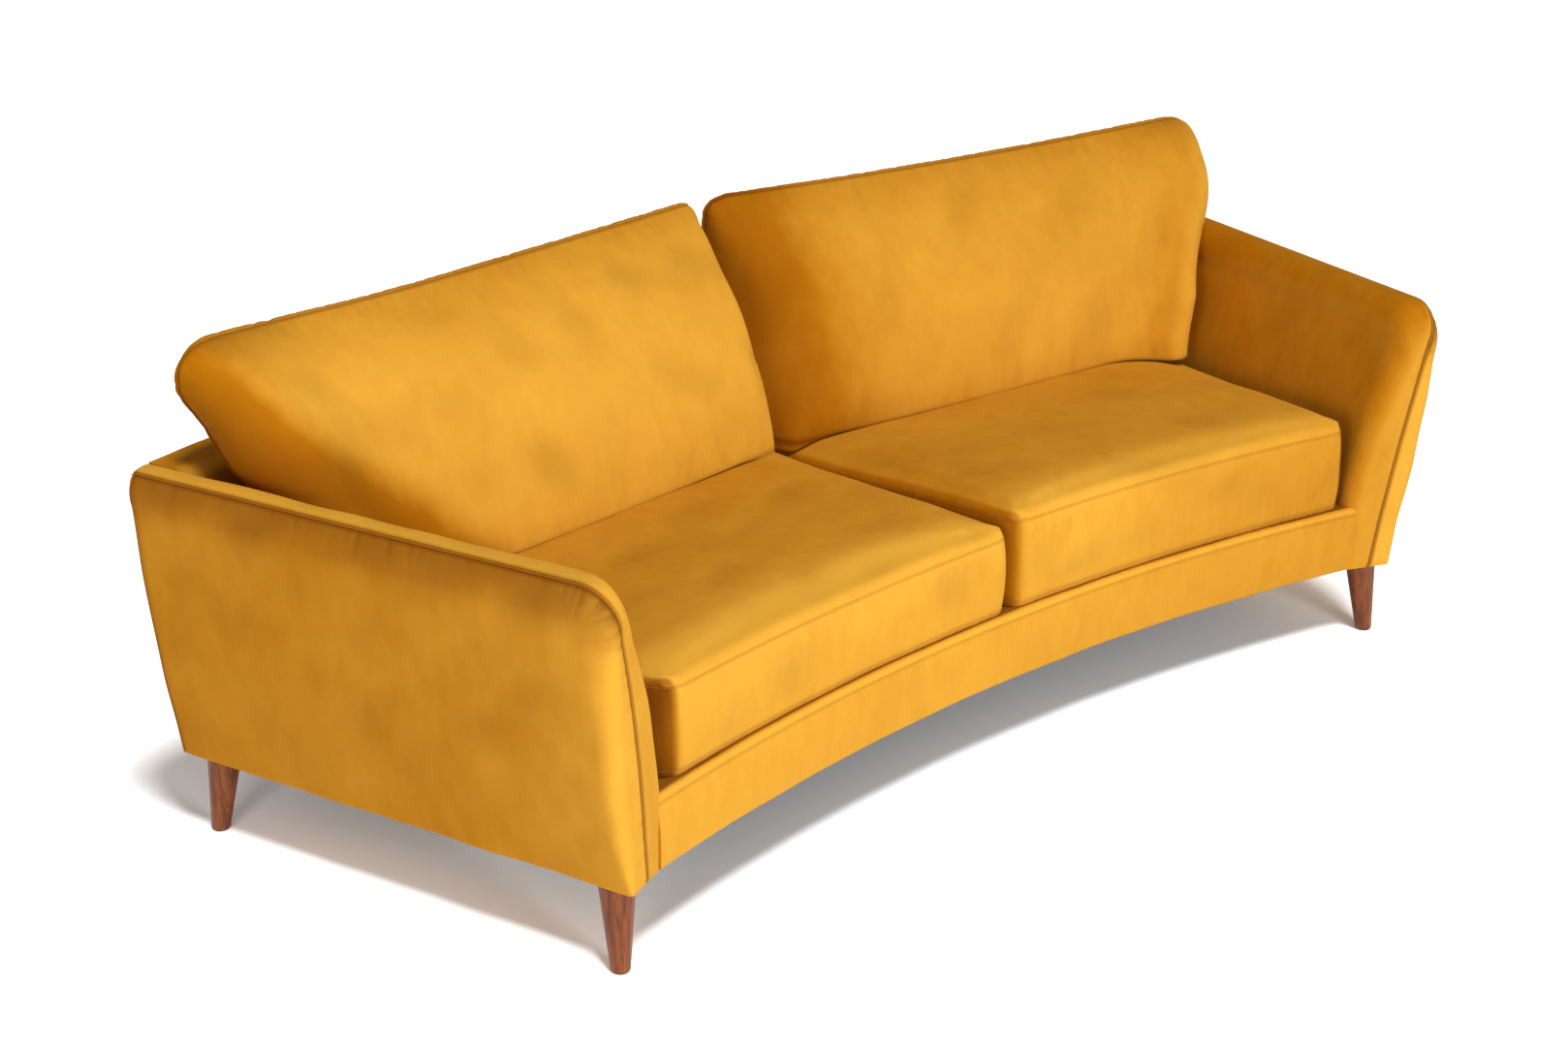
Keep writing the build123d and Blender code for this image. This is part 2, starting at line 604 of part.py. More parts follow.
def seat_base():
    """Stretcher, belts, clips, deck and dust cover between the rails."""
    rear = seat_rail_rear() - RAIL_THICKNESS
    bar = block_profile(RAIL_BACK + FIT_GAP, rear - FIT_GAP, FRAME_FLOOR, FRAME_FLOOR + STRETCHER_HEIGHT)
    half = STRETCHER_WIDTH / 2
    stretcher = Pos(0, CENTRE_Y, 0) * extrude(Plane.YZ.offset(-half) * bar, amount=STRETCHER_WIDTH)
    belts = []
    clips = []
    step = 2 * ARM_ANGLE / (SEAT_BELTS + 1)
    low = RAIL_TOP + CLIP_THICKNESS
    for number in range(SEAT_BELTS):
        turn = Pos(0, CENTRE_Y, low) * Rot(0, 0, ARM_ANGLE - step * (number + 1))
        start = RAIL_BACK - BELT_LAP
        end = rear + BELT_LAP
        belt = Box(BELT_WIDTH, end - start, BELT_THICKNESS, align=(Align.CENTER, Align.MIN, Align.MIN))
        belts.append(turn * Pos(0, start, 0) * belt)
        clip = Box(BELT_WIDTH, CLIP_LENGTH, CLIP_THICKNESS, align=(Align.CENTER, Align.MIN, Align.MAX))
        clips.append(turn * Pos(0, start, 0) * clip)
        clips.append(turn * Pos(0, end - CLIP_LENGTH, 0) * clip)
    front = RAIL_BACK + BELT_LAP + FIT_GAP
    edge = back_face(DECK) - FIT_GAP
    pad = block_profile(front, edge, DECK - DECK_CLOTH - DECK_PAD, DECK - DECK_CLOTH)
    cloth = block_profile(front, edge, DECK - DECK_CLOTH, DECK)
    hem = RAIL_BACK + BELT_LAP + 2 * COVER
    dust = block_profile(hem, FRAME_REAR, FRAME_FLOOR - DUST_COVER, FRAME_FLOOR)
    return {
        "centre_stretcher": stretcher,
        "seat_belts": Compound(children=belts),
        "belt_clips": Compound(children=clips),
        "deck_pad": trim_ends(curved(pad), beside_arm(FIT_GAP)),
        "deck_cloth": trim_ends(curved(cloth), beside_arm(FIT_GAP)),
        "dust_cover": trim_ends(curved(dust), base_side(FIT_GAP)),
    }


def section_plane(share, centre, side, flare, base):
    """Upright plane across a right-hand cushion, from the middle of the sofa to the arm.

    Its own x runs along the radius and its own y leans outwards with the arm.
    """
    turn = radians(share * ARM_ANGLE)
    along = Vector(sin(turn), cos(turn), 0)
    across = Vector(cos(turn), -sin(turn), 0)
    rise = Vector(0, 0, 1) + across * (flare * share)
    origin = Vector(0, CENTRE_Y, base) + across * (centre * (1 - share) + side * share)
    return Plane(origin=origin, x_dir=along, z_dir=along.cross(rise))


def end_rounding(near_roll, far_roll, length):
    """Places along a cushion, as shares of its length, each with how far it is rolled in."""
    turns = [0, 25, 50, 70, 90]
    round_steps = [(1 - cos(radians(turn)), 1 - sin(radians(turn))) for turn in turns]
    near = [(near_roll * step / length, rolled) for step, rolled in round_steps]
    middle = [(share, 0) for share in (0.25, 0.4, 0.5, 0.6, 0.75)]
    far = [(1 - far_roll * step / length, rolled) for step, rolled in reversed(round_steps)]
    return near + middle + far


def seat_sizes():
    """Front and rear radius and lower and upper edge height of the seat cushions."""
    front = FRONT_RADIUS + SEAT_SETBACK
    rear = back_face(DECK) - SEAT_REAR_GAP
    low = DECK + SOFT_GAP
    return front, rear, low, low + SEAT_THICKNESS


def seat_top(radius):
    """Height of a seat cushion's crowned top above the middle of its length."""
    front, rear, _, high = seat_sizes()
    reach = (2 * radius - front - rear) / (rear - front)
    return high + SEAT_CROWN * (1 - reach * reach)


def seat_form(inset):
    """A right-hand seat cushion's crowned form, drawn in by an inset."""
    front, rear, low, high = seat_sizes()
    inner_arm = -ARM_FOOT_WIDTH - FIT_GAP - SEAT_GAP + ARM_INNER_FLARE * (low - LEG_HEIGHT) / (
        SHOULDER_IN[1] - LEG_HEIGHT
    )
    side = inner_arm - ARM_INNER_BULGE - inset
    centre = SEAT_GAP / 2 + inset
    length = radians(ARM_ANGLE) * (front + rear) / 2
    sections = []
    for share, rolled in end_rounding(SEAT_CORNER, SEAT_CORNER, length):
        corner = inset + SEAT_CORNER * rolled
        edge = inset + SEAT_ROLL * rolled
        swell = 1 - (2 * share - 1) ** 4
        crown = SEAT_SIDE_CROWN + (SEAT_CROWN - SEAT_SIDE_CROWN) * swell
        near = front + corner + SEAT_BULGE
        away = rear - corner - SEAT_BULGE
        edges = [
            Line((near, edge), (away, edge)),
            SagittaArc((away, edge), (away, high - low - edge), -SEAT_BULGE),
            SagittaArc((away, high - low - edge), (near, high - low - edge), -crown),
            SagittaArc((near, high - low - edge), (near, edge), -SEAT_BULGE),
        ]
        sections.append(section_plane(share, centre, side, 0, low) * make_face(edges))
    return loft(sections, ruled=True)


def back_cushion_form(inset):
    """A right-hand back cushion's crowned front rolled back to a flat rear, drawn in by an inset."""
    rear_gap = BACK_CUSHION_REAR_GAP + inset
    half_turn = radians(ARM_ANGLE / 2)
    sag = BACK_LIP * (1 - cos(half_turn))
    low = seat_top(back_face(DECK + SEAT_THICKNESS) - BACK_CUSHION_DEPTH - sag) + SOFT_GAP
    side_share = (low - LEG_HEIGHT) / (SHOULDER_IN[1] - LEG_HEIGHT)
    inner_arm = ARM_INNER_FLARE * side_share - ARM_FOOT_WIDTH - ARM_INNER_BULGE
    side = inner_arm - BACK_CUSHION_SIDE_GAP - inset
    centre = SEAT_GAP / 2 + inset
    length = 2 * half_turn * BACK_LIP
    sections = []
    for share, rolled in end_rounding(MIDDLE_END_ROLL, ARM_END_ROLL, length):
        turn = half_turn * (2 * share - 1)
        straight = BACK_LIP * (cos(half_turn) / cos(turn) - 1)
        foot = low + inset + END_LIFT * rolled
        head = BACK_CUSHION_TOP - inset - END_DROP * rolled
        rear_foot = back_face(foot) - rear_gap + straight
        rear_lip = back_face(ARM_HEIGHT) - rear_gap + straight
        ridge = BACK_LIP - RIDGE_FORWARD + straight
        depth = BACK_CUSHION_DEPTH + (END_DEPTH - BACK_CUSHION_DEPTH) * rolled - inset
        bulge = FRONT_BULGE + (END_BULGE - FRONT_BULGE) * rolled
        points = [
            (rear_foot - depth, foot - low),
            (rear_foot, foot - low),
            (rear_lip, ARM_HEIGHT - low),
            (ridge, head - low),
            (ridge - RIDGE_WIDTH, head - low),
        ]
        edges = [
            Line(points[0], points[1]),
            Line(points[1], points[2]),
            SagittaArc(points[2], points[3], -REAR_BULGE),
            Line(points[3], points[4]),
            SagittaArc(points[4], points[0], -bulge),
        ]
        plane = section_plane(share, centre, side, BACK_CUSHION_FLARE, low)
        sections.append(plane * make_face(edges))
    return loft(sections, ruled=True)


def cushion(form, name):
    """Cover and filling of a right-hand cushion and its mirror image."""
    cover = form(0) - form(COVER)
    core = form(COVER + CORE_GAP)
    pieces = {}
    for side, solid in both_sides(cover).items():
        pieces[f"{name}_cover_{side}"] = solid
    for side, solid in both_sides(core).items():
        pieces[f"{name}_core_{side}"] = solid
    return pieces


def legs():
    """Four legs and the groups of their fixings."""
    pieces = {}
    groups = {"leg_bolts": leg_bolt, "leg_inserts": leg_insert, "leg_glides": glide}
    for is_front, place in ((True, "front"), (False, "rear")):
        for side, solid in both_sides(leg(is_front)).items():
            pieces[f"{place}_leg_{side}"] = solid
    for name, make in groups.items():
        solids = []
        for is_front in (True, False):
            solids += both_sides(make(is_front)).values()
        pieces[name] = Compound(children=solids)
    return pieces


def arms():
    """Both arms with their bolts."""
    frame = arm_frame()
    pieces = {}
    for name, solid in {**frame, **arm_upholstery(frame)}.items():
        for side, piece in both_sides(solid).items():
            pieces[f"{name}_{side}"] = piece
    bolts = []
    for bolt in arm_bolts():
        bolts += both_sides(bolt).values()
    pieces["arm_bolts"] = Compound(children=bolts)
    return pieces


def base():
    """Seat base between the arms."""
    pieces = {**apron(), **back_frame(), **seat_base()}
    for side, piece in both_sides(base_ends()).items():
        pieces[f"base_end_{side}"] = piece
    blocks = []
    for block in corner_blocks():
        blocks += both_sides(block).values()
    pieces["corner_blocks"] = Compound(children=blocks)
    return pieces


def main():
    """Build every piece and write one file for each."""
    pieces = {**legs(), **arms(), **base(), **back_upholstery()}
    pieces.update(cushion(seat_form, "seat_cushion"))
    pieces.update(cushion(back_cushion_form, "back_cushion"))
    os.makedirs("parts", exist_ok=True)
    for name, piece in pieces.items():
        export_step(piece, f"parts/{name}.step")
    print(len(pieces), "pieces")


main()
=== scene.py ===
"""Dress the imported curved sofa: velvet upholstery, loose cushions and turned wooden legs.

Lengths are metres in the CAD frame: +Z up, the front faces -Y and the floor is at height 0.
"""

import logging
import math
from collections.abc import Sequence
from dataclasses import dataclass
from enum import Enum
from typing import Any

import bmesh
import bpy
import numpy as np
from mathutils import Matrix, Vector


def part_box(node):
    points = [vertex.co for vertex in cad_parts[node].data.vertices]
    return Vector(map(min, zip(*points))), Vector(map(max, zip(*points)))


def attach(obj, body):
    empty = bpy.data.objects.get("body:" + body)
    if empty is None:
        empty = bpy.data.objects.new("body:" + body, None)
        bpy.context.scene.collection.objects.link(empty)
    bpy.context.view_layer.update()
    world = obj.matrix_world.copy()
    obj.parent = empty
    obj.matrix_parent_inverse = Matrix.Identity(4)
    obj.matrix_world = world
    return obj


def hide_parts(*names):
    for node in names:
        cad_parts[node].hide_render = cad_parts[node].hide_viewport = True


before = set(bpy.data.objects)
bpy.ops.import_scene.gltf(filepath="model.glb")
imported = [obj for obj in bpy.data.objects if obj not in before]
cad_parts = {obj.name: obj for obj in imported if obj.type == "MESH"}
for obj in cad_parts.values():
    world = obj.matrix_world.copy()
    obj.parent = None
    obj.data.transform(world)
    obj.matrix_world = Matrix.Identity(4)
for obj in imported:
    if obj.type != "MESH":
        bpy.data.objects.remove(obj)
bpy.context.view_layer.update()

MM = 0.001
FRAME_BODY = "frame"
LOG = logging.getLogger("curved_sofa")

Points = np.ndarray
Piece = bpy.types.Object
Tree = bpy.types.NodeTree
Node = bpy.types.Node
Socket = bpy.types.NodeSocket


# Shared tools


def linear(colour: str) -> tuple[float, float, float, float]:
    """Turn an sRGB hex colour into linear light.

    Args:
        colour: Six hex digits after a hash.

    Returns:
        Linear red, green, blue and an alpha of 1.
    """
    parts = [int(colour[start : start + 2], 16) / 255 for start in (1, 3, 5)]
    red, green, blue = (
        part / 12.92 if part <= 0.04045 else ((part + 0.055) / 1.055) ** 2.4 for part in parts
    )
    return red, green, blue, 1.0


def add(tree: Tree, kind: str, inputs: dict[str | int, Any] | None = None, **settings: Any) -> Any:
    """Add a node with its settings, and link or set its inputs.

    Args:
        tree: Shader or geometry node tree.
        kind: The node's type name.
        inputs: Socket name or number, with a socket to link from or a plain value.
        **settings: The node's own properties.

    Returns:
        The new node.
    """
    made = tree.nodes.new(kind)
    for name, value in settings.items():
        setattr(made, name, value)
    for key, value in (inputs or {}).items():
        if isinstance(value, Socket):
            tree.links.new(value, made.inputs[key])
        else:
            made.inputs[key].default_value = value
    return made


def bow(start: Sequence[float], end: Sequence[float], rise: float, count: int) -> Points:
    """Lay points along a shallow arc.

    Args:
        start: First point, in a plane.
        end: Last point.
        rise: Height of the arc over its chord, to the right of its run.
        count: Number of steps.

    Returns:
        The points, both ends among them.
    """
    share = np.linspace(0, 1, count + 1)[:, None]
    first, last = np.array(start, float), np.array(end, float)
    run = last - first
    right = np.array([run[1], -run[0]]) / np.linalg.norm(run)
    return first + run * share + right * (4 * rise * share * (1 - share))


def quarter_roll(distance: Points | float, radius: Points | float) -> Points:
    """Give how far a rolled edge falls back, at a distance from the edge."""
    left = 1 - unit(np.asarray(distance) / radius)
    return radius * (1 - np.sqrt(unit(1 - left * left)))


def unit(values: Any) -> Points:
    """Keep values between 0 and 1."""
    return np.clip(values, 0, 1)


def eased(values: Any) -> Points:
    """Keep values between 0 and 1 and ease them in and out."""
    share = unit(values)
    return share * share * (3 - 2 * share)


def fading(distance: Any, width: Any) -> Points:
    """Give 1 at no distance, fading away smoothly over about a width."""
    return np.exp(-((distance / width) ** 2))


def edge_spaced(length: float, step: float, edge_steps: Sequence[float]) -> Points:
    """Share out a length with fine steps at both ends.

    Args:
        length: Length to share out.
        step: Spacing away from the ends.
        edge_steps: Distances of the fine points from each end.

    Returns:
        Shares of the length from 0 to 1.
    """
    near = np.array(edge_steps) / length
    count = max(2, round((1 - 2 * near[-1]) * length / step))
    middle = np.linspace(near[-1], 1 - near[-1], count + 1)[1:-1]
    return np.concatenate([[0], near, middle, 1 - near[::-1], [1]])


def round_corners(
    across: Points, up: Points, reach: dict[tuple[int, int], tuple[float, float]]
) -> tuple[Points, Points]:
    """Ease chosen corners of a unit square into quarter rounds.

    Args:
        across: First share, from 0 to 1.
        up: Second share.
        reach: Corner as (0 or 1, 0 or 1), with the round's size in both shares.

    Returns:
        Both shares, moved.
    """
    across, up = across.copy(), up.copy()
    for (right, top), (wide, high) in reach.items():
        near = unit(((across if right else 1 - across) - 1 + wide) / wide)
        over = unit(((up if top else 1 - up) - 1 + high) / high)
        inside = (near > 0) & (over > 0)
        moved = 1 - wide + wide * near * np.sqrt(1 - over * over / 2)
        lifted = 1 - high + high * over * np.sqrt(1 - near * near / 2)
        across = np.where(inside, moved if right else 1 - moved, across)
        up = np.where(inside, lifted if top else 1 - lifted, up)
    return across, up


def undulation(points: Points, length: float, seed: int, waves: int = 9) -> Points:
    """Give a smooth uneven height over points in space.

    Args:
        points: Places, one in a row.
        length: Usual distance from crest to crest.
        seed: Seed of the directions and phases.
        waves: Number of plane waves added up.

    Returns:
        Heights from about -1 to 1.
    """
    rng = np.random.default_rng(seed)
    total = np.zeros(len(points))
    for _ in range(waves):
        heading = rng.normal(size=3)
        heading *= 2 * math.pi / (np.linalg.norm(heading) * length * rng.uniform(0.7, 1.5))
        total += np.sin(points @ heading + rng.uniform(0, 2 * math.pi))
    return total / math.sqrt(waves)


def quads(rows: int, columns: int, around: bool = False) -> Points:
    """Number the four-sided faces of a grid whose points run row by row.

    Args:
        rows: Rows of points.
        columns: Points in a row.
        around: Whether each row closes on itself.

    Returns:
        Four point numbers for each face.
    """
    last = columns if around else columns - 1
    row, column = np.meshgrid(np.arange(rows - 1), np.arange(last), indexing="ij")
    here = row * columns + column
    beside = row * columns + (column + 1) % columns
    return np.stack([here, beside, beside + columns, here + columns], -1).reshape(-1, 4)


def make_piece(name: str, points: Points, faces: Sequence[Sequence[int]], finish: "Finish") -> Piece:
    """Make a smooth object whose place is in its mesh.

    Args:
        name: The piece's name.
        points: Corner points.
        faces: Point numbers of each face.
        finish: What covers it.

    Returns:
        The new object.
    """
    mesh = bpy.data.meshes.new(name)
    mesh.from_pydata(points.tolist(), [], [[int(corner) for corner in face] for face in faces])
    shape = bmesh.new()
    shape.from_mesh(mesh)
    bmesh.ops.recalc_face_normals(shape, faces=shape.faces[:])
    shape.to_mesh(mesh)
    shape.free()
    mesh.polygons.foreach_set("use_smooth", np.ones(len(mesh.polygons), bool))
    mesh.materials.append(finish.material())
    piece = bpy.data.objects.new(name, mesh)
    bpy.context.scene.collection.objects.link(piece)
    return piece


def apply_modifiers(piece: Piece) -> None:
    """Turn a piece's modifiers into its plain mesh.

    Args:
        piece: The piece, which keeps its name.
    """
    bpy.context.view_layer.update()
    depsgraph = bpy.context.evaluated_depsgraph_get()
    made = bpy.data.meshes.new_from_object(piece.evaluated_get(depsgraph), depsgraph=depsgraph)
    old = piece.data
    piece.modifiers.clear()
    piece.data = made
    bpy.data.meshes.remove(old)
    made.name = piece.name


def subdivide(piece: Piece) -> None:
    """Divide a piece's faces once on a smooth surface; its first points keep their numbers."""
    modifier = piece.modifiers.new("divided", "SUBSURF")
    modifier.levels = modifier.render_levels = 1
    apply_modifiers(piece)


def places(piece: Piece) -> Points:
    """Give a piece's points, one in a row."""
    found = np.empty(len(piece.data.vertices) * 3)
    piece.data.vertices.foreach_get("co", found)
    return found.reshape(-1, 3)


def facings(piece: Piece) -> Points:
    """Give the outward direction at each point of a piece."""
    found = np.empty(len(piece.data.vertices) * 3)
    piece.data.vertices.foreach_get("normal", found)
    return found.reshape(-1, 3)


def move_to(piece: Piece, points: Points) -> None:
    """Put a piece's points in new places."""
    piece.data.vertices.foreach_set("co", points.ravel())
    piece.data.update()


def raise_by(piece: Piece, heights: Points) -> None:
    """Move a piece's points outwards by a height at each."""
    move_to(piece, places(piece) + facings(piece) * heights[:, None])


def mark(piece: Piece, name: str, values: Points) -> None:
    """Keep a value at each point of a piece for its finish to read."""
    layer = piece.data.attributes.new(name, "FLOAT", "POINT")
    layer.data.foreach_set("value", values.astype(np.float32))


def paint_light_and_shade(piece: Piece, seed: int) -> None:
    """Mark painted shade on a piece: darker where it turns away from the light that falls on the sofa's
    front.

    Args:
        piece: A velvet piece, which may already carry painted light and shade of its own.
        seed: Seed of a slight random unevenness in the painted shade.
    """
    # painted shade: the share grows as the surface turns from the front light, a little uneven at random,
    # plus any painted light and shade marked before
    towards = facings(piece) @ np.array([0.78, -0.61, -0.12])
    painted_shade = 0.5 - 0.6 * towards + 0.03 * undulation(places(piece), 330 * MM, seed)
    # painted light and shade set on each piece beforehand, below 0 lighter and above 0 darker
    layer = piece.data.attributes.get("extra_painted_light_and_shade")
    if layer is not None:
        extra_painted_light_and_shade = np.empty(len(painted_shade), np.float32)
        layer.data.foreach_get("value", extra_painted_light_and_shade)
        painted_shade += extra_painted_light_and_shade
    mark(piece, "painted_shade", unit(painted_shade))


class Side(Enum):
    """Which half of the sofa, as seen from in front of it."""

    LEFT = -1
    RIGHT = 1

    @property
    def label(self) -> str:
        """Give the word used in piece names."""
        return self.name.lower()

    def mirrored(self, points: Points) -> Points:
        """Put right-hand points on this side."""
        return points * np.array([self.value, 1, 1])


@dataclass(frozen=True)
class Seam:
    """A sewn line in space.

    Attributes:
        path: Points along the line.
        closed: Whether it comes back to its start.
    """

    path: Points
    closed: bool = False

    def near(self, points: Points) -> tuple[Points, Points]:
        """Find each point's place by the seam.

        Args:
            points: Places, one in a row.

        Returns:
            Length along the seam to its nearest point, and the distance from it.
        """
        steps = np.linalg.norm(np.diff(self.path, axis=0), axis=1)
        lengths = np.concatenate([[0], np.cumsum(steps)])
        along = np.empty(len(points))
        away = np.empty(len(points))
        for start in range(0, len(points), 4096):
            block = points[start : start + 4096]
            gaps = np.linalg.norm(block[:, None, :] - self.path[None], axis=2)
            nearest = gaps.argmin(1)
            reached, closest = lengths[nearest], gaps.min(1)
            # between two points of the line the place is taken from both
            for offset in (-1, 1):
                other = np.clip(nearest + offset, 0, len(lengths) - 1)
                run = self.path[other] - self.path[nearest]
                size = np.maximum((run * run).sum(1), 1e-12)
                share = unit(((block - self.path[nearest]) * run).sum(1) / size)
                gap = np.linalg.norm(block - self.path[nearest] - run * share[:, None], axis=1)
                part = gap < closest
                closest[part] = gap[part]
                reached[part] = (lengths[nearest] + share * (lengths[other] - lengths[nearest]))[part]
            along[start : start + 4096] = reached
            away[start : start + 4096] = closest
        return along, away

    def length(self) -> float:
        """Give the seam's length."""
        return float(np.linalg.norm(np.diff(self.path, axis=0), axis=1).sum())

    def halved(self) -> "Seam":
        """Halve each step of an open seam on a smooth curve.

        Returns:
            The new seam.
        """
        path = self.path
        line = np.vstack([2 * path[:1] - path[1:2], path, 2 * path[-1:] - path[-2:-1]])
        made = np.empty((2 * len(path) - 1, 3))
        made[::2] = path
        made[1::2] = (9 * (line[1:-2] + line[2:-1]) - line[:-3] - line[3:]) / 16
        return Seam(made)


@dataclass(frozen=True)
class Puckers:
    """Short creases that a sewn seam draws into the cloth beside it.

    Attributes:
        spacing: Usual distance between creases along the seam.
        depth: Depth of a full fold.
        reach: How far a fold runs from the seam.
        width: Half width of a fold.
        seed: Seed of their places.
    """

    spacing: float
    depth: float
    reach: float
    width: float
    seed: int

    def heights(self, along: Points, away: Points, length: float) -> Points:
        """Give the height of the creased cloth.

        Args:
            along: Length along the seam of each point.
            away: Distance of each point from the seam.
            length: The seam's length.

        Returns:
            Heights, below 0 in a fold.
        """
        rng = np.random.default_rng(self.seed)
        total = np.zeros(len(along))
        close = away < 3 * self.reach
        along, away = along[close], away[close]
        part = np.zeros(len(along))
        for number in range(int(length / self.spacing)):
            middle = (number + rng.uniform(0.1, 0.9)) * self.spacing
            depth = self.depth * rng.uniform(0.15, 1) ** 1.5
            reach = 0.35 * self.reach * rng.uniform(0.5, 1.3)
            width = self.width * rng.uniform(0.7, 1.4)
            lean = rng.uniform(-0.35, 0.35)
            share = away / reach
            line = fading(along - middle - lean * away, width)
            part -= depth * line * share * np.exp(1 - share)
        total[close] = part
        return total


# Finishes


@dataclass(frozen=True)
class Finish:
    """What every finish shares.

    Attributes:
        name: The material's name.
        roughness: The surface's roughness where no pattern changes it.
    """

    name: str
    roughness: float

    def material(self) -> bpy.types.Material:
        """Make the finish's material, or give the one already made.

        Returns:
            The material.
        """
        made = bpy.data.materials.get(self.name)
        if made is None:
            made = bpy.data.materials.new(self.name)
            made.use_nodes = True
            made.node_tree.nodes.clear()
            shader = add(made.node_tree, "ShaderNodeBsdfPrincipled", {"Roughness": self.roughness})
            add(made.node_tree, "ShaderNodeOutputMaterial", {"Surface": shader.outputs[0]})
            self.paint(made.node_tree, shader)
        return made

    def paint(self, tree: Tree, shader: Node) -> None:
        """Give the shader its colours and relief.

        Args:
            tree: The material's tree.
            shader: Its surface shader.
        """
        raise NotImplementedError

    def speckle(
        self,
        tree: Tree,
        size: float,
        stretch: Sequence[float] = (1, 1, 1),
        detail: float = 2.0,
    ) -> Socket:
        """Add an uneven pattern on the piece's own coordinates.

        Args:
            tree: The material's tree.
            size: Usual size of its patches, in metres.
            stretch: How much the pattern is drawn out along each axis.
            detail: Amount of finer pattern inside the patches.

        Returns:
            The pattern, from 0 to 1.
        """
        place = add(tree, "ShaderNodeTexCoord").outputs["Object"]
        scale = [1 / part for part in stretch]
        turned = add(tree, "ShaderNodeMapping", {"Vector": place, "Scale": scale})
        pattern = add(
            tree,
            "ShaderNodeTexNoise",
            {"Vector": turned.outputs[0], "Scale": 1 / size, "Detail": detail, "Roughness": 0.55},
        )
        return pattern.outputs[0]

    def between(self, tree: Tree, share: Socket, low: float, high: float) -> Socket:
        """Spread the part of a pattern between two values over 0 to 1."""
        spread = add(tree, "ShaderNodeMapRange", {0: share, 1: low, 2: high}, interpolation_type="SMOOTHSTEP")
        return spread.outputs[0]

    def mix(self, tree: Tree, share: Socket, first: Any, second: Any) -> Socket:
        """Blend two colours by a share of the second."""
        blend = add(tree, "ShaderNodeMix", {0: share, 6: first, 7: second}, data_type="RGBA")
        return blend.outputs[2]

    def relief(self, tree: Tree, height: Socket, depth: float, under: Socket | None = None) -> Socket:
        """Raise a surface by a pattern.

        Args:
            tree: The material's tree.
            height: The pattern.
            depth: Its depth in metres.
            under: Another relief that it lies over.

        Returns:
            The surface's new direction.
        """
        inputs: dict[str | int, Any] = {"Height": height, "Distance": depth, "Strength": 1.0}
        if under is not None:
            inputs["Normal"] = under
        return add(tree, "ShaderNodeBump", inputs).outputs[0]


@dataclass(frozen=True)
class Velvet(Finish):
    """Mustard cotton velvet: a short dense pile, crushed lighter and darker in soft patches.

    The sheen makes edges and rolls glow; painted light and shade give a lit or shaded tone by facing, and
    brown painted shade fills creases and gaps.

    Attributes:
        lit: Colour where the painted light is full, on surfaces that face the light.
        painted_shade: Colour of the painted shade, on surfaces turned away from the light.
        crease_and_painted_shade: Colour of the seams, partly their own tone, and of the painted shade in
            creases, gaps and corners.
        sheen_tint: Colour of the light that the pile scatters.
        sheen: Strength of that light.
        patch: Size of hand-sized crushed patches.
        stroke: Size of small stroke marks.
        pile: Drawn size of the pile, coarser than the real 0.3 mm so that it shows.
    """

    lit: str = "#DEA236"
    painted_shade: str = "#AE6A04"
    crease_and_painted_shade: str = "#5E2602"
    sheen_tint: str = "#FFBE46"
    sheen: float = 0.1
    patch: float = 230 * MM
    stroke: float = 30 * MM
    pile: float = 1.6 * MM

    def paint(self, tree: Tree, shader: Node) -> None:
        """Mix the painted light and shade with crushed patches and stroke marks, and brown the seams and
        painted shade.
        """
        # painted light and shade: the share of the shaded tone marked on each point, made uneven by random
        # crushed patches and stroke marks
        share = add(tree, "ShaderNodeAttribute", attribute_name="painted_shade").outputs["Fac"]
        strokes = self.speckle(tree, self.stroke, (1, 1, 2.0), 4)
        for pattern, spread in ((self.speckle(tree, self.patch, detail=5), 0.17), (strokes, 0.17)):
            uneven = add(tree, "ShaderNodeMapRange", {0: pattern, 3: -spread, 4: spread}).outputs[0]
            share = add(tree, "ShaderNodeMath", {0: share, 1: uneven}, operation="ADD").outputs[0]
        painted_shade_and_patches = self.mix(tree, share, linear(self.lit), linear(self.painted_shade))
        # seams darkened, partly their own tone and partly painted shade, and brown painted shade in creases,
        # gaps and corners
        sewn = add(tree, "ShaderNodeAttribute", attribute_name="crease_and_painted_shade").outputs["Fac"]
        shader_colour = self.mix(tree, sewn, painted_shade_and_patches, linear(self.crease_and_painted_shade))
        tree.links.new(shader_colour, shader.inputs["Base Color"])
        shader.inputs["Specular IOR Level"].default_value = 0.06
        shader.inputs["Sheen Weight"].default_value = self.sheen
        shader.inputs["Sheen Roughness"].default_value = 0.4
        shader.inputs["Sheen Tint"].default_value = linear(self.sheen_tint)
        dents = self.relief(tree, strokes, 0.35 * MM)
        pile = self.relief(tree, self.speckle(tree, self.pile, detail=1), 0.2 * MM, dents)
        tree.links.new(pile, shader.inputs["Normal"])


@dataclass(frozen=True)
class TwoTone(Finish):
    """A finish whose pattern runs between two tones.

    Attributes:
        light: Colour on crowns and between grain lines.
        dark: Colour in hollows and grain lines.
    """

    light: str = "#FFFFFF"
    dark: str = "#000000"

    def tone(self, tree: Tree, shader: Node, share: Socket) -> None:
        """Colour the shader by a share of the light tone."""
        colour = self.mix(tree, share, linear(self.dark), linear(self.light))
        tree.links.new(colour, shader.inputs["Base Color"])


@dataclass(frozen=True)
class Thread(TwoTone):
    """Spun polyester sewing thread: smooth, a little glossy, paler than the velvet."""

    light: str = "#E9B04A"
    dark: str = "#C98A24"

    def paint(self, tree: Tree, shader: Node) -> None:
        """Vary the thread a little along its run."""
        self.tone(tree, shader, self.speckle(tree, 3 * MM))


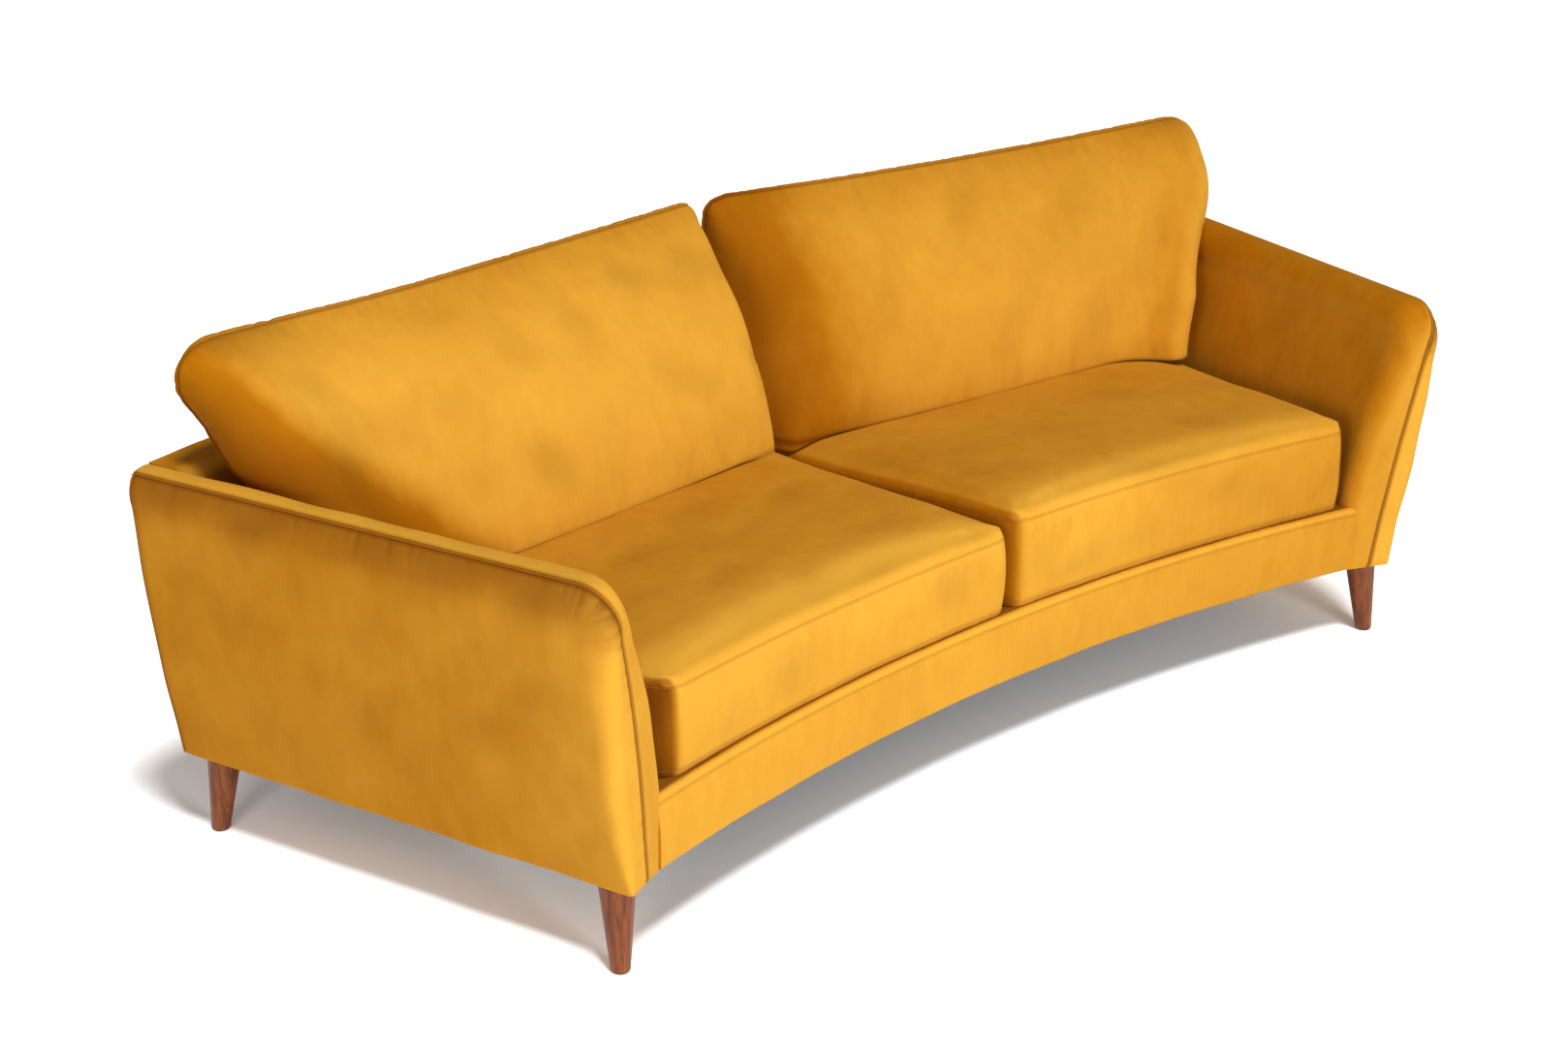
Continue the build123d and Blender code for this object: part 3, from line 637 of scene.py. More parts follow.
@dataclass(frozen=True)
class StainedWood(TwoTone):
    """Turned beech, walnut stained and satin lacquered: red brown with fine dark grain lines."""

    light: str = "#8B4D2B"
    dark: str = "#5C2E18"
    grain: float = 1.9 * MM

    def paint(self, tree: Tree, shader: Node) -> None:
        """Draw the grain along the leg, with short dark pores."""
        broad = self.speckle(tree, 9 * MM, (1, 1, 9), 3)
        lines = self.speckle(tree, self.grain, (1, 1, 22), 3)
        share = add(tree, "ShaderNodeMath", {0: broad, 1: lines}, operation="ADD").outputs[0]
        self.tone(tree, shader, self.between(tree, share, 0.72, 1.25))
        gloss = add(tree, "ShaderNodeMapRange", {0: lines, 3: self.roughness + 0.1, 4: self.roughness - 0.06})
        tree.links.new(gloss.outputs[0], shader.inputs["Roughness"])
        tree.links.new(self.relief(tree, lines, 0.12 * MM), shader.inputs["Normal"])
        shader.inputs["Specular IOR Level"].default_value = 0.22


@dataclass(frozen=True)
class RawBoard(TwoTone):
    """Unfinished board or rail: sawn, matt, with its fibres or veneer showing.

    Attributes:
        grain: Width of a grain line.
        stretch: How far the grain is drawn out along each axis.
    """

    light: str = "#D9BC8F"
    dark: str = "#B08E5C"
    grain: float = 5 * MM
    stretch: tuple[float, float, float] = (12, 1, 1)

    def paint(self, tree: Tree, shader: Node) -> None:
        """Draw the grain and a fine sawn surface."""
        lines = self.speckle(tree, self.grain, self.stretch, 4)
        self.tone(tree, shader, self.between(tree, lines, 0.35, 0.65))
        tree.links.new(self.relief(tree, lines, 0.25 * MM), shader.inputs["Normal"])


@dataclass(frozen=True)
class WovenCloth(TwoTone):
    """Woven webbing or bonded lining: crossing threads that show as a fine matt grid.

    Attributes:
        thread: Spacing of the threads, drawn coarser than real where needed to show.
    """

    light: str = "#2E2C2A"
    dark: str = "#171615"
    thread: float = 2 * MM

    def paint(self, tree: Tree, shader: Node) -> None:
        """Cross two sets of threads and dust them unevenly."""
        place = add(tree, "ShaderNodeTexCoord").outputs["Object"]
        crowns = []
        for direction in ("X", "Y"):
            wave = add(
                tree,
                "ShaderNodeTexWave",
                {"Vector": place, "Scale": 0.314 / self.thread, "Distortion": 0.4, "Detail": 1.0},
                bands_direction=direction,
            )
            crowns.append(wave.outputs["Fac"])
        weave = add(tree, "ShaderNodeMath", {0: crowns[0], 1: crowns[1]}, operation="MULTIPLY").outputs[0]
        dust = self.speckle(tree, 60 * MM)
        share = add(tree, "ShaderNodeMath", {0: weave, 1: dust}, operation="ADD").outputs[0]
        self.tone(tree, shader, self.between(tree, share, 0.3, 1.3))
        tree.links.new(self.relief(tree, weave, 0.2 * MM), shader.inputs["Normal"])


@dataclass(frozen=True)
class PlatedSteel(Finish):
    """Zinc plated steel: bright, slightly blue, with a fine drawn surface."""

    colour: str = "#C3C5C8"

    def paint(self, tree: Tree, shader: Node) -> None:
        """Dull the plating in small patches."""
        shader.inputs["Base Color"].default_value = linear(self.colour)
        shader.inputs["Metallic"].default_value = 1.0
        dull = add(
            tree,
            "ShaderNodeMapRange",
            {0: self.speckle(tree, 3 * MM), 3: self.roughness - 0.08, 4: self.roughness + 0.12},
        )
        tree.links.new(dull.outputs[0], shader.inputs["Roughness"])


@dataclass(frozen=True)
class MouldedPlastic(TwoTone):
    """Moulded polypropylene: near black, with a fine even spark texture."""

    light: str = "#2A2826"
    dark: str = "#1C1B1A"

    def paint(self, tree: Tree, shader: Node) -> None:
        """Texture the moulding."""
        spark = self.speckle(tree, 0.8 * MM)
        self.tone(tree, shader, spark)
        tree.links.new(self.relief(tree, spark, 0.05 * MM), shader.inputs["Normal"])


VELVET = Velvet("mustard_cotton_velvet", 0.85)
THREAD = Thread("spun_sewing_thread", 0.55)
LEG_WOOD = StainedWood("walnut_stained_beech", 0.42)
FRAME_TIMBER = RawBoard("sawn_beech_rail", 0.8)
PLYWOOD = RawBoard("birch_plywood", 0.75, "#DCC49A", "#C2A272", grain=7 * MM, stretch=(1, 1, 10))
HARDBOARD = RawBoard("pressed_hardboard", 0.7, "#7A5A3C", "#5E432B", grain=3 * MM, stretch=(1, 1, 1))
WEBBING = WovenCloth("elastic_seat_webbing", 0.85, light="#4A3B2C", dark="#241C14", thread=2.5 * MM)
LINING = WovenCloth("bonded_black_lining", 0.9)
STEEL = PlatedSteel("zinc_plated_steel", 0.35)
GLIDE = MouldedPlastic("moulded_glide_plastic", 0.5)


# Path trees


class PathShape(Enum):
    """What a Geometry Nodes tree lays along a path."""

    CORD = "cord_along_path"
    STITCHES = "stitches_along_path"


class PathTree:
    """Geometry Nodes that lay a round cord, or a row of separate stitches, along a line of edges."""

    SIZES = {
        PathShape.CORD: {"Radius": "NodeSocketFloat", "Sides": "NodeSocketInt"},
        PathShape.STITCHES: {"Spacing": "NodeSocketFloat", "Size": "NodeSocketVector"},
    }

    def __init__(self, shape: PathShape) -> None:
        """Build the tree with named inputs for its sizes.

        Args:
            shape: What it lays.
        """
        self.tree = bpy.data.node_groups.new(shape.value, "GeometryNodeTree")
        face = self.tree.interface
        face.new_socket("Path", in_out="INPUT", socket_type="NodeSocketGeometry")
        for name, kind in self.SIZES[shape].items():
            face.new_socket(name, in_out="INPUT", socket_type=kind)
        face.new_socket("Finish", in_out="INPUT", socket_type="NodeSocketMaterial")
        face.new_socket("Piece", in_out="OUTPUT", socket_type="NodeSocketGeometry")
        self.sizes = add(self.tree, "NodeGroupInput").outputs
        line = add(self.tree, "GeometryNodeMeshToCurve", {"Mesh": self.sizes["Path"]}).outputs[0]
        painted_shade = self.cord(line) if shape is PathShape.CORD else self.stitches(line)
        smooth = add(self.tree, "GeometryNodeSetShadeSmooth", {0: painted_shade}).outputs[0]
        whole = add(self.tree, "GeometryNodeRealizeInstances", {0: smooth}).outputs[0]
        dressed = add(self.tree, "GeometryNodeSetMaterial", {0: whole, "Material": self.sizes["Finish"]})
        add(self.tree, "NodeGroupOutput", {0: dressed.outputs[0]})

    def cord(self, line: Socket) -> Socket:
        """Sweep a circle along the line.

        Args:
            line: Curve to follow.

        Returns:
            The cord.
        """
        ring = add(
            self.tree,
            "GeometryNodeCurvePrimitiveCircle",
            {"Resolution": self.sizes["Sides"], "Radius": self.sizes["Radius"]},
        )
        swept = add(
            self.tree,
            "GeometryNodeCurveToMesh",
            {"Curve": line, "Profile Curve": ring.outputs[0], "Fill Caps": True},
        )
        return swept.outputs[0]

    def stitches(self, line: Socket) -> Socket:
        """Set a small drawn-out bead at each step of the line.

        Args:
            line: Curve to follow.

        Returns:
            The stitches.
        """
        steps = add(
            self.tree,
            "GeometryNodeCurveToPoints",
            {"Curve": line, "Length": self.sizes["Spacing"]},
            mode="LENGTH",
        )
        heading = add(
            self.tree, "FunctionNodeAlignRotationToVector", {"Vector": steps.outputs["Tangent"]}, axis="Z"
        )
        bead = add(self.tree, "GeometryNodeMeshIcoSphere", {"Radius": 0.5, "Subdivisions": 1}).outputs[0]
        drawn = add(self.tree, "GeometryNodeTransform", {"Geometry": bead, "Scale": self.sizes["Size"]})
        row = add(
            self.tree,
            "GeometryNodeInstanceOnPoints",
            {"Points": steps.outputs[0], "Instance": drawn.outputs[0], "Rotation": heading.outputs[0]},
        )
        return row.outputs[0]

    def lay(self, name: str, seams: Sequence[Seam], finish: Finish, sizes: dict[str, Any]) -> Piece:
        """Lay the tree's shape along seams as one plain mesh.

        Args:
            name: The piece's name.
            seams: Lines to follow.
            finish: What the piece is made of.
            sizes: Value of each named input.

        Returns:
            The new object.
        """
        points = np.vstack([seam.path for seam in seams])
        edges: list[tuple[int, int]] = []
        start = 0
        for seam in seams:
            count = len(seam.path)
            edges += [(start + step, start + step + 1) for step in range(count - 1)]
            if seam.closed:
                edges.append((start + count - 1, start))
            start += count
        mesh = bpy.data.meshes.new(name)
        mesh.from_pydata(points.tolist(), edges, [])
        piece = bpy.data.objects.new(name, mesh)
        bpy.context.scene.collection.objects.link(piece)
        modifier = piece.modifiers.new(self.tree.name, "NODES")
        modifier.node_group = self.tree
        for item in self.tree.interface.items_tree:
            if item.name in sizes:
                modifier[item.identifier] = sizes[item.name]
            elif item.name == "Finish":
                modifier[item.identifier] = finish.material()
        apply_modifiers(piece)
        return piece


CORD_SIDES = 8
STITCH_LIFT = 0.5 * MM
SEAM_STITCH = {"Spacing": 5.5 * MM, "Size": (0.9 * MM, 0.9 * MM, 3.4 * MM)}
STAPLE = {"Spacing": 45 * MM, "Size": (1.2 * MM, 1.2 * MM, 10 * MM)}


@dataclass(frozen=True)
class Filling:
    """Soft filling that pushes a sewn cover out, worked out by cloth simulation.

    Attributes:
        pressure: Push of the filling on the cover.
        cap: Farthest that a point of the cover may move.
        ease: Spare cloth near the seams, as a share of its length.
        frames: Steps of the simulation.
    """

    pressure: float
    cap: float
    ease: float = 0.03
    frames: int = 14

    def swell(self, piece: Piece, sewn: Points, slack: Points) -> None:
        """Swell a piece's free cloth and keep the result in its mesh.

        Args:
            piece: The cover.
            sewn: How firmly each point is held, from 0 to 1.
            slack: Where each point has spare cloth, from 0 to 1.
        """
        start = places(piece)
        for name, weights in (("sewn", sewn), ("slack", slack)):
            group = piece.vertex_groups.new(name=name)
            for weight in np.unique(np.round(weights, 1)):
                chosen = np.flatnonzero(np.isclose(np.round(weights, 1), weight))
                group.add(chosen.tolist(), float(weight), "REPLACE")
        modifier = piece.modifiers.new("filling", "CLOTH")
        settings = modifier.settings
        settings.quality = 6
        settings.vertex_group_mass = "sewn"
        settings.use_pressure = True
        settings.uniform_pressure_force = self.pressure
        settings.effector_weights.gravity = 0
        settings.vertex_group_shrink = "slack"
        settings.shrink_max = -self.ease
        settings.bending_stiffness = 0.5
        modifier.collision_settings.use_collision = False
        modifier.point_cache.frame_start = 1
        modifier.point_cache.frame_end = self.frames
        scene = bpy.context.scene
        for step in range(1, self.frames + 1):
            scene.frame_set(step)
        apply_modifiers(piece)
        scene.frame_set(1)
        piece.vertex_groups.clear()
        moved = places(piece) - start
        far = np.maximum(np.linalg.norm(moved, axis=1, keepdims=True), 1e-9)
        LOG.info("%s swelled by %.1f mm at most", piece.name, far.max() / MM)
        move_to(piece, start + moved * (self.cap * np.tanh(far / self.cap) / far))


# The sofa's plan


@dataclass(frozen=True)
class Plan:
    """The sofa's plan: arcs about one upright axis in front of it, with straight arms on radii.

    Attributes:
        arm_angle: Turn from the middle to an arm's foot.
        front_radius: Radius of the apron's face.
        back_radius: Radius of the outer back.
        leg_height: Height of the upholstery's lower edge.
        deck: Height of the deck under the seat cushions.
        arm_height: Height of the arms and the padded back.
        back_lip: Radius of the back's face at its top.
        back_rake: Lean of the back's face.
    """

    arm_angle: float = math.radians(14.83)
    front_radius: float = 3750 * MM
    back_radius: float = 4675 * MM
    leg_height: float = 150 * MM
    deck: float = 270 * MM
    arm_height: float = 668 * MM
    back_lip: float = 4590 * MM
    back_rake: float = math.radians(14)

    @property
    def axis_y(self) -> float:
        """Give the axis's place in front of the sofa."""
        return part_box("back_outer_cover")[1].y - self.back_radius

    def polar(self, turn: Points, radius: Points, height: Points) -> Points:
        """Place points by their turn from the middle, radius and height."""
        turn, radius, height = np.broadcast_arrays(turn, radius, height)
        return np.stack([radius * np.sin(turn), self.axis_y + radius * np.cos(turn), height], -1)

    def by_arm(self, across: Points, along: Points, height: Points) -> Points:
        """Place points by the right arm's own lines.

        Args:
            across: Distance outwards from the foot's outer edge.
            along: Distance from the axis along the arm.
            height: Height over the floor.

        Returns:
            The points.
        """
        across, along, height = np.broadcast_arrays(across, along, height)
        sine, cosine = math.sin(self.arm_angle), math.cos(self.arm_angle)
        return np.stack(
            [across * cosine + along * sine, self.axis_y - across * sine + along * cosine, height], -1
        )

    def turn_to_arm(self, across: Points, radius: Points) -> Points:
        """Give the turn at which a circle meets a line beside the right arm."""
        return self.arm_angle + np.arcsin(across / radius)

    def in_cushion(self, share: Points, offset: Points, radius: Points, height: Points) -> Points:
        """Place points of a right cushion by their share of the turn, offset across it and radius."""
        turn = share * self.arm_angle
        sine, cosine = np.sin(turn), np.cos(turn)
        return np.stack(
            [radius * sine + offset * cosine, self.axis_y + radius * cosine - offset * sine, height], -1
        )

    def back_face(self, height: Points) -> Points:
        """Give the radius of the raked back's face."""
        return self.back_lip - (self.arm_height - height) * math.tan(self.back_rake)


@dataclass
class Arm:
    """A padded arm: an outer panel sewn to an inner panel that rolls over its top and front.

    The arm's outline stands across it: outwards from the foot's outer edge, and up.
    """

    plan: Plan
    side: Side
    foot_width: float = 101 * MM
    shoulder_out: tuple[float, float] = (72 * MM, 610 * MM)
    top_seam: tuple[float, float] = (54 * MM, 666 * MM)
    top_inner: tuple[float, float] = (12 * MM, 666 * MM)
    shoulder_in: tuple[float, float] = (-16 * MM, 600 * MM)
    outer_bulge: float = 8 * MM
    inner_bulge: float = 19 * MM
    shoulder_bulge: float = 9 * MM
    outer_share: float = 0.69
    top_crown: float = 2 * MM
    front_foot: float = 3742 * MM
    front_top: float = 3726 * MM
    rear: float = 4667 * MM
    front_slant: float = 0.16
    front_reach: float = 190 * MM
    hem_drop: float = 4 * MM
    front_rise: float = 4 * MM
    rear_fall: float = 3 * MM
    corner_radius: float = 65 * MM
    inner_roll: float = 40 * MM
    shoulder_roll: float = 24 * MM
    middle_roll: float = 34 * MM
    tip_roll: float = 4 * MM
    outer_flare: float = 7 * MM
    inner_flare: float = 10 * MM
    top_draw: float = 8 * MM
    hem_roll: float = 3 * MM
    rear_roll: float = 34 * MM
    seam_foot: float = -47 * MM
    seam_bow: float = 9 * MM
    cord_radius: float = 1.9 * MM
    side_steps: int = 54
    top_steps: int = 8

    @property
    def seam_lean(self) -> float:
        """Give how far the seam leans outwards for its height."""
        return (self.top_seam[0] - self.seam_foot) / (self.top_seam[1] - self.plan.leg_height)

    def seam_across(self, height: Points) -> Points:
        """Give the seam's place across the arm.

        Args:
            height: Height over the floor.

        Returns:
            Distance outwards from the foot's outer edge.
        """
        rise = unit((height - self.plan.leg_height) / (self.top_seam[1] - self.plan.leg_height))
        straight = self.seam_foot + self.seam_lean * (height - self.plan.leg_height)
        return straight - self.seam_bow * np.sin(math.pi * rise)

    def outer_across(self, height: Points) -> Points:
        """Give the outer face's place across the arm.

        Args:
            height: Height over the floor.

        Returns:
            Distance outwards from the foot's outer edge.
        """
        side = bow((0, self.plan.leg_height), self.shoulder_out, self.outer_bulge, 40)
        top = bow(self.shoulder_out, self.top_seam, self.outer_share * self.shoulder_bulge, 12)[1:]
        line = np.vstack([side, top])
        return np.interp(height, line[:, 1], line[:, 0])

    def inner_across(self, height: Points) -> Points:
        """Give the inner face's place across the arm.

        Args:
            height: Height over the floor.

        Returns:
            Distance outwards from the foot's outer edge.
        """
        foot = (-self.foot_width, self.plan.leg_height)
        side = bow(self.shoulder_in, foot, self.inner_bulge, 40)[::-1]
        top = bow(self.top_inner, self.shoulder_in, self.shoulder_bulge, 12)[::-1][1:]
        line = np.vstack([side, top])
        return np.interp(height, line[:, 1], line[:, 0])

    def outline(self) -> tuple[Points, Points, Points]:
        """Draw the arm's outline from the foot's outer edge, up, over and down.

        Returns:
            Its points, where each is drawn in to on the front face, and the radius of that roll.
        """
        low = self.plan.leg_height - self.hem_drop
        sides, tops = self.side_steps, self.top_steps
        foot_out, foot_in = (0.0, low), (-self.foot_width, low)
        outer = bow(foot_out, self.shoulder_out, self.outer_bulge, sides)
        over = [
            bow(self.shoulder_out, self.top_seam, self.outer_share * self.shoulder_bulge, tops)[1:],
            bow(self.top_seam, self.top_inner, self.top_crown, tops)[1:],
            bow(self.top_inner, self.shoulder_in, self.shoulder_bulge, tops)[1:],
        ]
        inner = bow(self.shoulder_in, foot_in, self.inner_bulge, sides)[1:]
        seam = (self.seam_foot, low)
        hem = np.vstack([bow(foot_in, seam, 0, 2 * tops)[1:], bow(seam, foot_out, 0, tops)[1:-1]])
        points = np.vstack([outer, *over, inner, hem])
        return points, *self.front_face(points)

    def front_face(self, outline: Points) -> tuple[Points, Points]:
        """Draw the edge of the front face inside its roll.

        Args:
            outline: The arm's outline.

        Returns:
            Where each point of the outline is drawn in to, and the radius of its roll.
        """
        low = self.plan.leg_height - self.hem_drop
        sides, tops = self.side_steps, self.top_steps
        hem, top = low + self.hem_roll, self.top_seam[1] - self.corner_radius
        outer = np.linspace(hem, top - 36 * MM, sides + 1)
        drawn_out = np.interp(
            outer,
            [low, low + 90 * MM, low + 260 * MM, outer[-1]],
            [self.tip_roll, self.middle_roll * 0.8, self.middle_roll, self.shoulder_roll],
        )
        outer = np.column_stack([self.outer_across(outer) - drawn_out, outer])
        inner = np.linspace(top - 50 * MM, hem, sides + 1)
        drawn_in = np.linspace(self.inner_roll, 0.5 * self.inner_roll, sides + 1)
        inner = np.column_stack([self.inner_across(inner) + drawn_in, inner])
        seam_top = (float(self.seam_across(np.array(top))) - 1 * MM, top)
        inner_top = (seam_top[0] - 14 * MM, top - 1 * MM)
        seam_foot = (self.seam_foot, hem)
        edge = np.vstack(
            [
                outer,
                bow(outer[-1], seam_top, 4 * MM, tops)[1:],
                bow(seam_top, inner_top, 0.5 * MM, tops)[1:],
                bow(inner_top, inner[0], 4 * MM, tops)[1:],
                inner[1:],
                bow(inner[-1], seam_foot, 0, 2 * tops)[1:],
                bow(seam_foot, outer[0], 0, tops)[1:-1],
            ]
        )
        place = np.cumsum([0, sides, tops, tops, tops, sides, 2 * tops, tops])
        sizes = [8, 54, self.corner_radius / MM, self.corner_radius / MM, 52, 22, self.hem_roll / MM, 8]
        roll = np.interp(np.arange(len(edge)), place, sizes) * MM
        roll[: sides + 1] = np.interp(
            outline[: sides + 1, 1],
            [low, low + 90 * MM, low + 260 * MM, self.shoulder_out[1]],
            [8 * MM, 30 * MM, 36 * MM, 54 * MM],
        )
        return edge, roll

    def front(self, height: Points) -> Points:
        """Give the leaning front's place along the arm."""
        share = (height - self.plan.leg_height) / (self.plan.arm_height - self.plan.leg_height)
        return self.front_foot + (self.front_top - self.front_foot) * share

    def skin(self) -> tuple[Points, list[Any], Points, Points]:
        """Sweep the outline from the front to the rear and close both ends.

        Returns:
            Points, faces, the numbers of the seam's points, and those of the rear outer edge.
        """
        outline, drawn_to, roll = self.outline()
        around = len(outline)
        sides, tops = self.side_steps, self.top_steps
        turns = np.linspace(0, math.pi / 2, 13)
        near = self.corner_radius * (1 - np.cos(turns))
        creased = np.arange(self.corner_radius + 4.5 * MM, self.front_reach, 4.5 * MM)
        plain = np.linspace(0, 1, 84)[1:]
        rear_steps = self.rear_roll * (1 - np.sin(np.linspace(0, math.pi / 2, 9)))
        # both faces stand out a little where they turn to the front
        rising = unit((outline[:, 1] - 170 * MM) / (130 * MM))
        up = eased(rising * unit((605 * MM - outline[:, 1]) / (170 * MM)))
        flare = np.zeros_like(outline)
        flare[: sides + 1, 0] = self.outer_flare * up[: sides + 1]
        inside = slice(sides + 3 * tops, 2 * sides + 3 * tops + 1)
        flare[inside, 0] = -self.inner_flare * up[inside]
        arch = np.sin(np.linspace(0, math.pi, 2 * tops + 1))
        flare[sides + tops : sides + 3 * tops + 1, 0] = self.top_draw * arch
        rear_rolls = np.full(around, self.hem_roll)
        rear_rolls[:sides] = np.linspace(0.5, 1, sides) * self.rear_roll
        shoulder = slice(sides, sides + tops + 1)
        strip_top = slice(sides + tops, sides + 2 * tops + 1)
        rear_rolls[shoulder] = np.linspace(self.rear_roll, 0.6 * self.rear_roll, tops + 1)
        rear_rolls[strip_top] = np.linspace(0.6 * self.rear_roll, self.hem_roll, tops + 1)
        rear_in = np.zeros_like(outline)
        rear_in[:sides] = (-1, 0)
        ease = np.linspace(0, 1, tops + 1)[:, None]
        rear_in[shoulder] = (1 - ease) * (-1, 0) + ease * (-0.5, -0.6)
        rear_in[strip_top] = (1 - ease) * (-0.5, -0.6) + ease * (0, -0.6)
        rear_in[inside] = (1, 0)
        rings = []
        for setback in np.concatenate([near, creased]):
            drawn = outline + (drawn_to - outline) * (quarter_roll(setback, roll) / roll)[:, None]
            ahead = max(0.0, 1 - setback / self.front_reach) ** 2
            slant = self.front_slant * ahead
            along = self.front(drawn[:, 1]) + setback - slant * (drawn[:, 0] + 0.2 * self.foot_width)
            drawn = drawn + flare * ahead
            rings.append(np.column_stack([drawn[:, 0], along, drawn[:, 1]]))
        start = rings[-1]
        end = np.column_stack([outline[:, 0], np.full(around, self.rear - self.rear_roll), outline[:, 1]])
        rings += [start + (end - start) * share for share in plain]
        for left in rear_steps[1:]:
            drawn = outline + rear_in * quarter_roll(left, rear_rolls)[:, None]
            rings.append(np.column_stack([drawn[:, 0], np.full(around, self.rear - left), drawn[:, 1]]))
        points = np.vstack(rings)
        faces: list[Any] = quads(len(rings), around, around=True).tolist()
        front, front_faces, seam_column = self.end_face(points[:around], 0, len(points))
        faces += front_faces
        points = np.vstack([points, front])
        rear, rear_faces, _ = self.end_face(rings[-1], (len(rings) - 1) * around, len(points))
        faces += rear_faces
        points = np.vstack([points, rear])
        # the top line rises a little to the front
        share = (points[:, 1] - self.front_top) / (self.rear - self.front_top)
        up = unit((points[:, 2] - self.plan.leg_height) / self.plan.arm_height)
        points[:, 2] += up * (self.front_rise - (self.front_rise + self.rear_fall) * share)
        top = sides + tops
        seam = np.concatenate([(np.arange(len(rings))[::-1]) * around + top, seam_column])
        corner = (len(rings) - 5) * around + np.arange(top + 1)
        return points, faces, seam, corner

    def end_face(self, ring: Points, first: int, free: int) -> tuple[Points, list[Any], Points]:
        """Fill an end of the arm with a grid whose middle line is the seam.

        Args:
            ring: The outline's points at that end.
            first: Number of the ring's first point.
            free: First unused point number.

        Returns:
            New points, faces, and the numbers of the seam's points from the top down.
        """
        sides, wide = self.side_steps, 3 * self.top_steps
        around = len(ring)
        numbers = np.empty((sides + 1, wide + 1), int)
        numbers[:, 0] = np.arange(sides + 1)
        numbers[sides] = sides + np.arange(wide + 1)
        numbers[:, wide] = (2 * sides + wide - np.arange(sides + 1)) % around
        numbers[0] = (-np.arange(wide + 1)) % around
        share = np.linspace(0, 1, wide + 1)
        made = []
        for row in range(1, sides):
            left, right = ring[numbers[row, 0]], ring[numbers[row, wide]]
            up = row / sides
            upper = ring[numbers[sides]]
            arched = (upper[:, 2] - upper[0, 2] - (upper[-1, 2] - upper[0, 2]) * share) * up**6
            heights = left[2] + (right[2] - left[2]) * share + arched
            middle = float(self.seam_across(heights[self.top_steps]))
            middle = min(max(middle, right[0] + 4 * MM), left[0] - 2 * MM)
            knots = [0, self.top_steps / wide, 1]
            across = np.interp(share, knots, [left[0], middle, right[0]])
            straight = np.interp(share, knots, upper[[0, self.top_steps, -1], 0])
            across += (upper[:, 0] - straight) * up**6
            swell = 3 * MM * np.sin(math.pi * share) * math.sin(math.pi * up)
            outwards = -1 if first == 0 else 0
            along = left[1] + (right[1] - left[1]) * share + outwards * swell
            made.append(np.column_stack([across, along, heights])[1:-1])
        inside = np.vstack(made)
        numbers = numbers + first
        numbers[1:sides, 1:wide] = free + np.arange(len(inside)).reshape(sides - 1, wide - 1)
        corners = numbers[:-1, :-1], numbers[1:, :-1], numbers[1:, 1:], numbers[:-1, 1:]
        faces = np.stack(corners, -1).reshape(-1, 4).tolist()
        return inside, faces, numbers[:sides, self.top_steps][::-1]

    def build(self, cords: PathTree) -> list[Piece]:
        """Make the padded arm and the cord sewn in its seams.

        Args:
            cords: Tree that lays cords.

        Returns:
            The arm's pieces.
        """
        label = self.side.label
        local, faces, seam_points, corner_points = self.skin()
        right = self.plan.by_arm(local[:, 0], local[:, 1], local[:, 2])
        piece = make_piece(f"arm_upholstery_{label}", self.side.mirrored(right), faces, VELVET)
        subdivide(piece)
        points = places(piece)
        seam = Seam(points[seam_points])
        corner = Seam(points[corner_points])
        self.crease_and_painted_shade(piece, seam, corner)
        sewn = places(piece)
        lift = facings(piece)
        raised = [
            Seam(sewn[line] + lift[line] * 0.2 * self.cord_radius).halved()
            for line in (seam_points, corner_points)
        ]
        sizes = {"Radius": self.cord_radius, "Sides": CORD_SIDES}
        cord = cords.lay(f"arm_seam_cord_{label}", raised, VELVET, sizes)
        # painted shade: the cord is darkened halfway to the colour of seams and painted shade, where it sits
        # in the seam
        mark(cord, "crease_and_painted_shade", np.full(len(cord.data.vertices), 0.5))
        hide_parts(*(f"arm_{name}_{label}" for name in ("outer_cover", "inner_cover", "pad")))
        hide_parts(f"arm_piping_{label}")
        return [piece, cord]

    def crease_and_painted_shade(self, piece: Piece, seam: Seam, corner: Seam) -> None:
        """Draw the seams in, pucker the outer panel, leave the padding a little uneven and paint light and
        shade into its colour.

        Args:
            piece: The arm.
            seam: Seam between the panels.
            corner: Seam up the outer rear edge.
        """
        points = places(piece)
        flat = self.side.mirrored(points)
        along, away = seam.near(points)
        length = seam.length()
        outer = self.outer_side(flat)
        heights = 0.9 * MM * undulation(flat, 140 * MM, 5)
        heights *= unit(away / (40 * MM))
        small = Puckers(spacing=30 * MM, depth=1.2 * MM, reach=30 * MM, width=5 * MM, seed=11)
        heights += small.heights(along, away, length) * np.where(outer, 1, 0.4)
        # the seam's top front corner gathers the outer panel most
        bend = length - (self.plan.arm_height - self.plan.leg_height) + 10 * MM
        gathered = fading(along - bend, 75 * MM)
        tight = Puckers(spacing=12 * MM, depth=4.2 * MM, reach=34 * MM, width=3.4 * MM, seed=12)
        heights += tight.heights(along, away, length) * gathered * np.where(outer, 1, 0.15)
        heights -= 2.2 * MM * fading(away, 4 * MM)
        rear_away = corner.near(points)[1]
        heights -= 1.5 * MM * fading(rear_away, 4 * MM)
        raise_by(piece, heights)
        # the seams darken, partly their own tone and partly painted shade in the groove
        shade = 0.75 * fading(away, 4.5 * MM) + 0.5 * fading(rear_away, 5 * MM)
